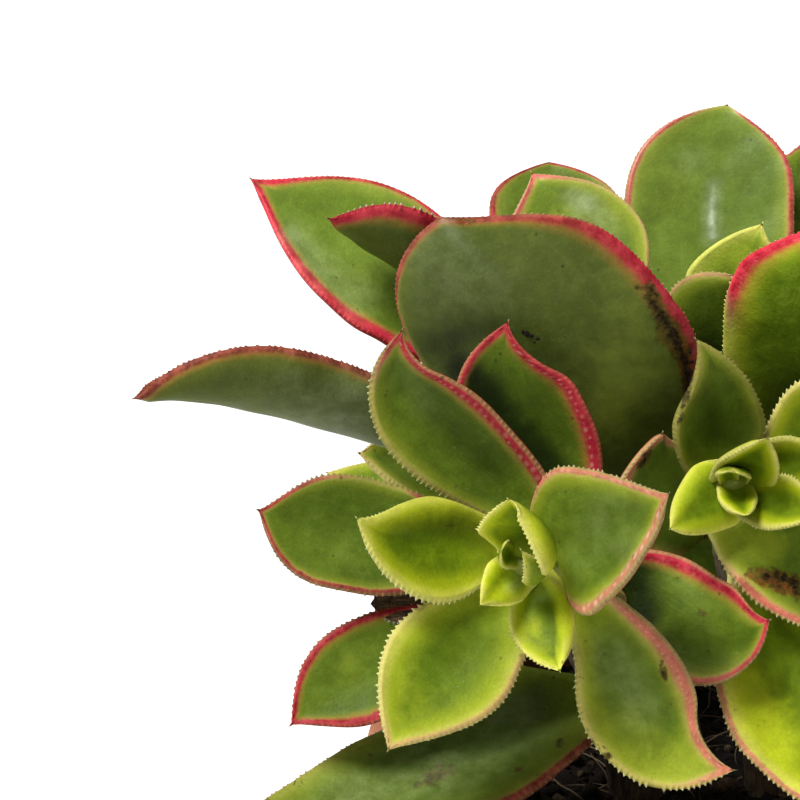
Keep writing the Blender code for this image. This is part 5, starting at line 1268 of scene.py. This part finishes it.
    # the open ends: base cap, and a fan to the tip
    def ring(i_row, i_fine):
        return ([int(L[j][i_fine]) for j in (0, 1, 3, 5)] + [int(v) for v in top[i_row]]
                + [int(R[j][i_fine]) for j in (5, 3, 1, 0, 2, 4, 6)]
                + [int(v) for v in bot[i_row][::-1]] + [int(L[j][i_fine]) for j in (6, 4, 2)])

    base = ring(0, 0)
    faces.append(base)
    last = ring(nr - 1, nf - 1)
    tip_t = np.array([1.0])
    end = b.p[3] + unit(b.p[3] - b.p[2]) * g("spine", 0.45)
    apex = add(np.array(end)[None, None], np.array([[-0.35]]), tip_t, np.array([[0.0]]), np.array([[0.1]]), 0.5)[0, 0]
    for i in range(len(last)):
        faces.append([last[(i + 1) % len(last)], last[i], int(apex)])
    return (np.concatenate(verts), faces,
            {"lf_a": np.concatenate(A), "lf_b": np.concatenate(B), "lf_c": np.concatenate(C), "lf_d": np.concatenate(D), "lf_e": np.concatenate(E), "lf_f": np.concatenate(F), "lf_g": np.concatenate(G), "lf_uv": np.concatenate(UV)})


def look_for(name, index):
    g = dict(PLAIN)
    rng = np.random.default_rng(1000 + index)
    g["young"] = 0.15 + 0.35 * rng.uniform()
    g["red"] = (0.4 + 0.6 * rng.uniform(), 0.4 + 0.6 * rng.uniform())
    g["width"] = (0.5 + 0.9 * rng.uniform(), 0.5 + 0.9 * rng.uniform())
    g["tone"] = 0.88 + 0.2 * rng.uniform()
    g["dull"] = 0.3 * rng.uniform()
    g["flush"] = 0.2 * rng.uniform()
    g.update(LOOK.get(name, {}))
    return g


SKINS = {}
for _i, (_name, _spec) in enumerate(LEAVES.items()):
    _v, _f, _a = leaf_mesh(_name, _spec, look_for(_name, _i), 11 + _i)
    SKINS[_name] = _v
    _o = new_mesh(_name + "_skin", _v, _f, SKIN, _a)
    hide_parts(_name)

# ---------------------------------------------------------------------------------------------------------------
# Hearts: the small inner leaves, each a mesh of its own on the tip of its stem

INNER["a"][0].update(cup=(0.55, 0.3), halves=(0.58, 1.12))                   # its left side turns back, like a hem
HEART_LOOK = {
    "a1": dict(roll=(0.62, 0.06), tooth=(0.12, 0.9), yellow=(3.0, 2.4), rim=(0.15, 0.35), same=1.0), "a2": dict(roll=(0.10, 0.0), tooth=(0.9, 0.8), yellow=(2.4, 3.8), same=0.8, tone=1.08), "a3": dict(roll=(0.34, 0.30), tooth=0.25, young=0.9, tone=1.15),
    "b1": dict(roll=(0.26, 0.44), tooth=0.15, yellow=2.6, tone=1.12, even=0.6, young=0.8), "b2": dict(tone=0.70, roll=(0.05, 0.05)), "b3": dict(roll=(0.05, 0.10), tooth=1.0, tone=0.85),
    "b4": dict(roll=(0.10, 0.08), tooth=0.5, tone=0.9), "b5": dict(roll=(0.20, 0.15), tooth=0.2),
}
for _k in STEMS:
    for _j, _spec in enumerate(INNER[_k]):
        _rank = _j / max(len(INNER[_k]) - 1, 1)
        _g = dict(PLAIN, young=0.95, red=(0.0, 0.0), rim=0.35, tone=1.0, tooth=0.7, wave=0.12, keel=0.05, yellow=2.4, roll=(0.10, 0.10))
        if _k in "cdefg":
            _g.update(young=0.70 + 0.30 * _rank, red=(0.10, 0.10), width=(0.4, 0.4), roll=(0.08 + 0.1 * (_j % 2), 0.16 - 0.1 * (_j % 2)))
        _g.update(HEART_LOOK.get(f"{_k}{_j + 1}", {}))
        if _spec.get("old"):
            _g = dict(PLAIN, young=0.05, red=(0.5, 0.5), tone=0.7, dull=0.5, tooth=0.4)
        _len = float(np.linalg.norm(_spec["tip"] - stem_point(_k, _spec["h"])[0]))
        _v, _f, _a = leaf_mesh(f"heart_{_k}{_j + 1}", _spec, _g, 400 + 20 * ord(_k) + _j, pitch=0.62 if _len > 8 else 0.5, fine=6,
                               tall=0.36 if _len > 8 else 0.2, inside=0.4)
        _o = new_mesh(f"heart_{_k}{_j + 1}", _v, _f, SKIN, _a)

# ---------------------------------------------------------------------------------------------------------------
# A dead leaf, brown and shrunk, that still hangs on rosette a


def dry_material():
    m = Nodes("dry_leaf")
    co = m.node("ShaderNodeTexCoord").outputs["Object"]
    edge, along, across = m.split(m.attr("lf_a").outputs["Vector"])
    n = m.noise(co, 900.0, 4.0, 0.7)
    crease = m.noise(m.vmath("MULTIPLY", m.attr("lf_uv").outputs["Vector"], m.join(1.6, 0.25, 1.0)), 1.6, 3.0, 0.6)
    col = m.mix(m.step(n, 0.35, 0.68), (0.034, 0.017, 0.009), (0.125, 0.070, 0.036))
    col = m.mix(m.math("MULTIPLY", m.step(crease, 0.5, 0.7), 0.6), col, (0.17, 0.115, 0.066))
    col = m.mix(m.math("MULTIPLY", m.step(edge, 0.05, -0.2), 0.8), col, (0.52, 0.46, 0.34))
    m.to("Base Color", col)
    m.set("Roughness", 0.8)
    m.set("Specular IOR Level", 0.2)
    m.to("Normal", m.bump(m.math("ADD", n, crease), 0.0004, 0.9))
    return m.mat


_spec = dict(stem="a", h=17.6, tip=at(371, 604, 9), w=6.6, face=turned(0.1, 0.35, 0.9), dip=6, lift=-10, cup=(0.5, 0.6), th=1.0, neck=0.5, sharp=4.5)
_v, _f, _a = leaf_mesh("dry_1", _spec, dict(PLAIN, tooth=1.0, wave=0.8, point=0.05, spine=0.1), 777, pitch=0.62, fine=6, tall=0.5, inside=1.7)
_o = new_mesh("dry_leaf_1", _v, _f, dry_material(), _a)

# ---------------------------------------------------------------------------------------------------------------
# Stems: green at the top, brown and scarred by fallen leaves lower down


def stem_mesh(name):
    s = STEMS[name]
    total = s["run"][-1]
    n, sides = int(total / 0.45), 40
    hs = np.concatenate([[0.15, 0.35, 0.6], np.linspace(0.9, total, n)])
    rng = np.random.default_rng(ord(name))
    marks = []                                # fallen leaves: down the stem, angle
    h, a = 6.0, 0.0
    while h < total:
        marks.append((h, a))
        h += 1.15
        a += math.radians(137.5)
    marks = np.array(marks)
    verts, att = [], []
    for h in hs:
        p, d, r = stem_point(name, h)
        u = unit(np.array([0.0, 1.0, 0.0]) - d[1] * d)
        v = np.cross(d, u)
        for j in range(sides):
            ang = 2 * math.pi * j / sides
            da = (ang - marks[:, 1] + math.pi) % (2 * math.pi) - math.pi
            dx, dy = da * r / 1.75, (marks[:, 0] - h) / 0.75
            dd = np.sqrt(dx * dx + dy * dy + 0.0001)
            mark = float(np.exp(-((dd - 0.95) / 0.22) ** 2).max())
            pad = float(np.exp(-dd**2 * 1.6).max())
            bark = float(smooth(8.0, 24.0, h))
            rr = r + 0.16 * pad * (h > 5) - 0.12 * mark * bark + 0.05 * math.sin(3 * ang + 0.5 * h)
            rr *= min(1.0, 0.35 + 0.8 * h) if h < 0.9 else 1.0
            verts.append(p + rr * (math.cos(ang) * u + math.sin(ang) * v))
            att.append((h, mark * bark, bark))
    faces = []
    m = len(hs)
    for i in range(m - 1):
        for j in range(sides):
            k = (j + 1) % sides
            faces.append((i * sides + k, i * sides + j, (i + 1) * sides + j, (i + 1) * sides + k))
    verts.append(s["crown"] + 0.25 * s["axis"])
    att.append((0.0, 0.0, 0.0))
    for j in range(sides):
        faces.append((j, (j + 1) % sides, m * sides))
    faces.append(tuple(reversed(range((m - 1) * sides, m * sides))))
    return verts, faces, {"st_a": np.array(att)}


for _k in STEMS:
    _v, _f, _a = stem_mesh(_k)
    _o = new_mesh(f"stem_{_k}_skin", _v, _f, STEM_SKIN, _a)
    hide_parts(f"stem_{_k}")

# ---------------------------------------------------------------------------------------------------------------
# Soil


def ground(x, y):
    """Height of the real soil surface: the plain one with lumps and grains on it."""
    z = soil_height(x, y)
    z = z + 0.45 * np.sin(0.9 * x + 1.7 * np.sin(0.31 * y)) * np.sin(0.8 * y + 0.9) + 0.30 * np.sin(1.9 * x + 2.0) * np.sin(2.2 * y + 0.6 * x)
    z = z + 0.22 * np.sin(3.7 * x + 1.3 * y) * np.sin(4.1 * y - 1.1 * x) + 0.13 * np.sin(7.3 * x - 2.2 * y + 1.0) * np.sin(6.9 * y + 2.0 * x)
    return z


def soil_mesh():
    r_edge = pot_inner_radius(POT_HEIGHT - RIM_HEIGHT) + 0.2
    rings = np.concatenate([np.linspace(0.0, r_edge, 74)[1:]])
    sides = 260
    ang = np.arange(sides) * 2 * math.pi / sides
    verts = [(0.0, 0.0, float(ground(0.0, 0.0)))]
    for r in rings:
        x, y = r * np.cos(ang), r * np.sin(ang)
        z = ground(x, y) + 0.5 * smooth(r_edge - 5.0, r_edge, r)
        verts.extend(np.stack([x, y, z], 1).tolist())
    lower = [(r_edge - 0.1, POT_HEIGHT - RIM_HEIGHT - 1.0), (pot_inner_radius(POT_FLOOR) - 1.6, POT_FLOOR + 2.0), (pot_inner_radius(POT_FLOOR) - 5.4, POT_FLOOR + 0.3)]
    for r, z in lower:
        verts.extend(np.stack([r * np.cos(ang), r * np.sin(ang), np.full(sides, z)], 1).tolist())
    count = len(rings) + len(lower)
    faces = [(0, 1 + j, 1 + (j + 1) % sides) for j in range(sides)]
    for i in range(count - 1):
        for j in range(sides):
            k = (j + 1) % sides
            a, c = 1 + i * sides, 1 + (i + 1) * sides
            faces.append((a + j, c + j, c + k, a + k))
    last = 1 + (count - 1) * sides
    faces.append(tuple(reversed(range(last, last + sides))))
    return verts, faces


_v, _f = soil_mesh()
_o = new_mesh("soil_body", _v, _f, PEAT)
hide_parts("soil")


def crumb_cloud(count, seed, low, high):
    """Many small broken lumps of peat lying on the soil."""
    rng = np.random.default_rng(seed)
    bm = bmesh.new()
    bmesh.ops.create_icosphere(bm, subdivisions=2, radius=1.0)
    ball = np.array([v.co for v in bm.verts])
    tris = np.array([[v.index for v in f.verts] for f in bm.faces])
    bm.free()
    verts, faces, att = [], [], []
    base = 0
    r_edge = pot_inner_radius(POT_HEIGHT - RIM_HEIGHT) - 0.6
    for _ in range(count):
        r, a = r_edge * math.sqrt(rng.uniform()), rng.uniform(0, 2 * math.pi)
        x, y = r * math.cos(a), r * math.sin(a)
        size = low + (high - low) * rng.uniform() ** 3
        scale = size * rng.uniform(0.55, 1.0, 3)
        k = rng.normal(0, 1.0, (5, 3))
        ph = rng.uniform(0, 6.28, 5)
        bumpy = 1.0 + 0.16 * np.sin(ball @ (1.6 * k.T) + ph).sum(1) / 1.6
        q = rng.normal(0, 1, 4)
        q /= np.linalg.norm(q)
        w, i, j, l = q
        rot = np.array([[1 - 2 * (j * j + l * l), 2 * (i * j - l * w), 2 * (i * l + j * w)],
                        [2 * (i * j + l * w), 1 - 2 * (i * i + l * l), 2 * (j * l - i * w)],
                        [2 * (i * l - j * w), 2 * (j * l + i * w), 1 - 2 * (i * i + j * j)]])
        p = (ball * bumpy[:, None] * scale) @ rot.T + np.array([x, y, float(ground(x, y)) + 0.35 * scale.min()])
        verts.append(p)
        faces.append(tris + base)
        base += len(ball)
        att.append(np.tile([rng.uniform(), 0.0, 0.0], (len(ball), 1)))
    return np.concatenate(verts), np.concatenate(faces).tolist(), {"cr_a": np.concatenate(att)}


_v, _f, _a = crumb_cloud(1500, 5, 0.35, 1.9)
_o = new_mesh("soil_crumbs", _v, _f, CRUMBS, _a)


def stuck_crumbs(places, seed):
    """Bits of peat that stick to the leaves: leaf, plan across, plan down, radius in mm."""
    rng = np.random.default_rng(seed)
    bm = bmesh.new()
    bmesh.ops.create_icosphere(bm, subdivisions=2, radius=1.0)
    ball = np.array([v.co for v in bm.verts])
    tris = np.array([[v.index for v in f.verts] for f in bm.faces])
    bm.free()
    verts, faces, att = [], [], []
    for leaf, px, py, size in places:
        v = SKINS[leaf]
        q = plan_px(v)
        depth = (v - REF) @ BACK
        gap = np.hypot(q[:, 0] - px, q[:, 1] - py)
        best = int(np.argmin(np.where(gap < gap.min() + 9.0, gap - 4.0 * depth, 1e9)))
        k = STEP * (1.0 - depth[best] / DIST)
        spot = v[best] + RIGHT * (px - q[best, 0]) * k + UP * (q[best, 1] - py) * k + BACK * 0.25 * size
        shape = ball * (1.0 + 0.22 * np.sin(ball @ rng.normal(0, 2.4, (3, 4)) + rng.uniform(0, 6.28, 4)).sum(1) / 2.0)[:, None]
        verts.append(shape * size * rng.uniform(0.55, 1.0, 3) + spot)
        faces.append(tris + len(ball) * len(faces))
        att.append(np.tile([0.2 + 0.6 * rng.uniform(), 0.0, 0.0], (len(ball), 1)))
    return np.concatenate(verts), np.concatenate(faces).tolist(), {"cr_a": np.concatenate(att)}


_v, _f, _a = stuck_crumbs([("leaf_c01", 523, 331.5, 0.42), ("leaf_c01", 526.5, 333, 0.55), ("leaf_c01", 530.5, 335, 0.62), ("leaf_c01", 534.5, 338, 0.45),
                           ("leaf_c01", 538, 339, 0.32), ("leaf_c01", 534, 342, 0.25),
                           ("leaf_c01", 690, 352, 0.30), ("leaf_c01", 691, 362, 0.34), ("leaf_c01", 689, 371, 0.36), ("leaf_c01", 690, 380, 0.30),
                           ("leaf_c01", 687, 388, 0.30), ("leaf_c01", 688, 397, 0.26)], 21)
_o = new_mesh("leaf_crumbs", _v, _f, CRUMBS, _a)


def fibres(count, seed):
    """Fine roots and bits of straw that lie over the soil."""
    rng = np.random.default_rng(seed)
    verts, faces, att = [], [], []
    base = 0
    sides = 5
    r_edge = pot_inner_radius(POT_HEIGHT - RIM_HEIGHT) - 1.5
    for _ in range(count):
        r, a = r_edge * math.sqrt(rng.uniform()), rng.uniform(0, 2 * math.pi)
        p = np.array([r * math.cos(a), r * math.sin(a)])
        head = rng.uniform(0, 2 * math.pi)
        turn = rng.normal(0, 0.05)
        length = rng.uniform(4.0, 17.0)
        n = int(length / 0.45)
        rad = rng.uniform(0.05, 0.17)
        hop = rng.uniform(0.0, 1.1)
        line = []
        for i in range(n):
            head += turn + rng.normal(0, 0.10)
            p = p + 0.45 * np.array([math.cos(head), math.sin(head)])
            if np.hypot(*p) > r_edge:
                p = p * (r_edge / np.hypot(*p))
            u = i / max(n - 1, 1)
            line.append((p[0], p[1], float(soil_height(p[0], p[1])) + 0.75 + rad + hop * math.sin(math.pi * u)))
        line = np.array(line)
        if len(line) < 4:
            continue
        tan = np.gradient(line, axis=0)
        tan /= np.linalg.norm(tan, axis=1)[:, None]
        up = np.array([0.0, 0.0, 1.0])
        s1 = np.cross(tan, up)
        s1 /= np.linalg.norm(s1, axis=1)[:, None]
        s2 = np.cross(s1, tan)
        taper = np.clip(np.minimum(np.arange(len(line)) + 0.6, len(line) - 0.4 - np.arange(len(line))) / 5.0, 0.25, 1.0) * rad
        for i in range(len(line)):
            for j in range(sides):
                an = 2 * math.pi * j / sides
                verts.append(line[i] + taper[i] * (math.cos(an) * s1[i] + math.sin(an) * s2[i]))
        for i in range(len(line) - 1):
            for j in range(sides):
                k = (j + 1) % sides
                faces.append((base + i * sides + j, base + i * sides + k, base + (i + 1) * sides + k, base + (i + 1) * sides + j))
        faces.append(tuple(base + j for j in range(sides))[::-1])
        faces.append(tuple(base + (len(line) - 1) * sides + j for j in range(sides)))
        tint = rng.uniform()
        att.append(np.tile([tint, 0, 0], (len(line) * sides, 1)))
        base += len(line) * sides
    return verts, faces, {"cr_a": np.concatenate(att)}


_v, _f, _a = fibres(210, 8)
_o = new_mesh("root_fibres", _v, _f, FIBRE, _a)

# ---------------------------------------------------------------------------------------------------------------
# Pot


def pot_mesh():
    """The pot's section, rounded, turned round its axis."""
    k = pot_inner_radius
    shoulder = POT_HEIGHT - RIM_HEIGHT
    ctrl = [(0.0, 0.0, 0.0), (POT_FOOT, 0.0, 1.4), (POT_SHOULDER, shoulder, 0.7), (RIM_RADIUS - 1.0, shoulder, 1.2),
            (RIM_RADIUS, POT_HEIGHT, 2.3), (RIM_RADIUS - 5.9, POT_HEIGHT, 1.9), (k(shoulder) + 0.6, shoulder, 2.0),
            (k(POT_FLOOR) - 2.0, POT_FLOOR, 3.0), (0.0, POT_FLOOR, 0.0)]
    prof = [ctrl[0][:2]]
    for i in range(1, len(ctrl) - 1):
        p0, p1, p2 = (np.array(c[:2]) for c in (ctrl[i - 1], ctrl[i], ctrl[i + 1]))
        rad = ctrl[i][2]
        d0, d1 = unit(p0 - p1), unit(p2 - p1)
        half = 0.5 * math.acos(float(np.clip(d0 @ d1, -1, 1)))
        reach = min(rad / math.tan(half), 0.45 * np.linalg.norm(p0 - p1), 0.45 * np.linalg.norm(p2 - p1))
        a, c = p1 + reach * d0, p1 + reach * d1
        for t in np.linspace(0, 1, 7):
            prof.append(tuple((1 - t) ** 2 * a + 2 * t * (1 - t) * p1 + t * t * c))
    prof.append(ctrl[-1][:2])
    full = []
    for a, c in zip(prof, prof[1:]):
        a, c = np.array(a), np.array(c)
        n = max(1, int(np.linalg.norm(c - a) / 3.0))
        for i in range(n):
            full.append(a + (c - a) * i / n)
    full.append(np.array(prof[-1]))
    sides = 160
    verts, faces = [(0.0, 0.0, 0.0)], []
    inner = full[1:-1]
    for r, z in inner:
        for j in range(sides):
            a = 2 * math.pi * j / sides
            wob = 1.0 + 0.0011 * math.sin(2 * a + 0.7) + 0.0006 * math.sin(5 * a + 0.05 * z)
            verts.append((r * wob * math.cos(a), r * wob * math.sin(a), z))
    verts.append((0.0, 0.0, POT_FLOOR))
    for j in range(sides):
        faces.append((0, 1 + (j + 1) % sides, 1 + j))
    for i in range(len(inner) - 1):
        for j in range(sides):
            k2 = (j + 1) % sides
            a, c = 1 + i * sides, 1 + (i + 1) * sides
            faces.append((a + j, a + k2, c + k2, c + j))
    last = 1 + (len(inner) - 1) * sides
    for j in range(sides):
        faces.append((last + j, last + (j + 1) % sides, len(verts) - 1))
    return verts, faces


_v, _f = pot_mesh()
POT = new_mesh("pot_body", _v, _f, FIRED)
for _i in range(3):
    _a = math.radians(90 + 120 * _i)
    _m = bpy.data.meshes.new(f"hole_{_i}")
    _b = bmesh.new()
    bmesh.ops.create_cone(_b, cap_ends=True, segments=40, radius1=DRAIN_RADIUS * MM, radius2=DRAIN_RADIUS * MM, depth=0.03)
    _b.to_mesh(_m)
    _b.free()
    _c = bpy.data.objects.new(f"hole_{_i}", _m)
    _c.location = (DRAIN_CIRCLE * MM * math.cos(_a), DRAIN_CIRCLE * MM * math.sin(_a), 0.0)
    bpy.context.scene.collection.objects.link(_c)
    _mod = POT.modifiers.new("hole", "BOOLEAN")
    _mod.operation, _mod.solver, _mod.object = "DIFFERENCE", "EXACT", _c
    bpy.context.view_layer.update()
    _done = bpy.data.meshes.new_from_object(POT.evaluated_get(bpy.context.evaluated_depsgraph_get()))
    POT.modifiers.clear()
    POT.data = _done
    bpy.data.objects.remove(_c)
POT.data.shade_smooth()
POT.data.set_sharp_from_angle(angle=math.radians(42))
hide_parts("pot")

# ---------------------------------------------------------------------------------------------------------------
# Floor, light, camera

_bm = bmesh.new()
bmesh.ops.create_circle(_bm, cap_ends=True, segments=96, radius=9.0)
_m = bpy.data.meshes.new("floor")
_bm.to_mesh(_m)
_bm.free()
_m.materials.append(FLOOR)
FLOOR_OBJ = bpy.data.objects.new("floor", _m)
bpy.context.scene.collection.objects.link(FLOOR_OBJ)

_w = bpy.data.worlds.new("studio")
bpy.context.scene.world = _w
_w.use_nodes = True
_bg = _w.node_tree.nodes["Background"]
_bg.inputs["Strength"].default_value = 0.40
# a broad soft light overhead that falls off towards the horizon
_geo = _w.node_tree.nodes.new("ShaderNodeTexCoord")
_xyz = _w.node_tree.nodes.new("ShaderNodeSeparateXYZ")
_fall = _w.node_tree.nodes.new("ShaderNodeMapRange")
_fall.interpolation_type = "SMOOTHSTEP"
for _n, _x in ((1, -0.1), (2, 0.9), (3, 0.35), (4, 1.0)):
    _fall.inputs[_n].default_value = _x
_w.node_tree.links.new(_geo.outputs["Generated"], _xyz.inputs[0])
_w.node_tree.links.new(_xyz.outputs[2], _fall.inputs[0])
_w.node_tree.links.new(_fall.outputs[0], _bg.inputs["Color"])


def sun(name, pos, strength, spread_angle, colour=(1.0, 1.0, 1.0)):
    light = bpy.data.lights.new(name, "SUN")
    light.energy = strength
    light.angle = math.radians(spread_angle)
    light.color = colour
    o = bpy.data.objects.new(name, light)
    o.rotation_mode = "QUATERNION"
    o.rotation_quaternion = Vector(pos).to_track_quat("Z", "Y")
    bpy.context.scene.collection.objects.link(o)
    return o


sun("key", (-0.42, -0.24, 0.87), 4.1, 26.0, (1.0, 0.99, 0.97))

_cam = bpy.data.cameras.new("camera")
_cam.sensor_width = 36.0
_cam.lens = 36.0 * DIST / (STEP * 800.0)
_cam.clip_start, _cam.clip_end = 0.05, 60.0
_cam.dof.use_dof = False
CAMERA = bpy.data.objects.new("camera", _cam)
CAMERA.location = tuple((REF + DIST * BACK) * MM)
CAMERA.rotation_mode = "XYZ"
CAMERA.rotation_euler = (math.radians(90.0) - TILT, 0.0, 0.0)
bpy.context.scene.collection.objects.link(CAMERA)
bpy.context.scene.camera = CAMERA

_view = bpy.context.scene.view_settings
_view.view_transform = "Standard"
_view.look = "None"
_view.exposure = 0.0
_view.gamma = 1.0
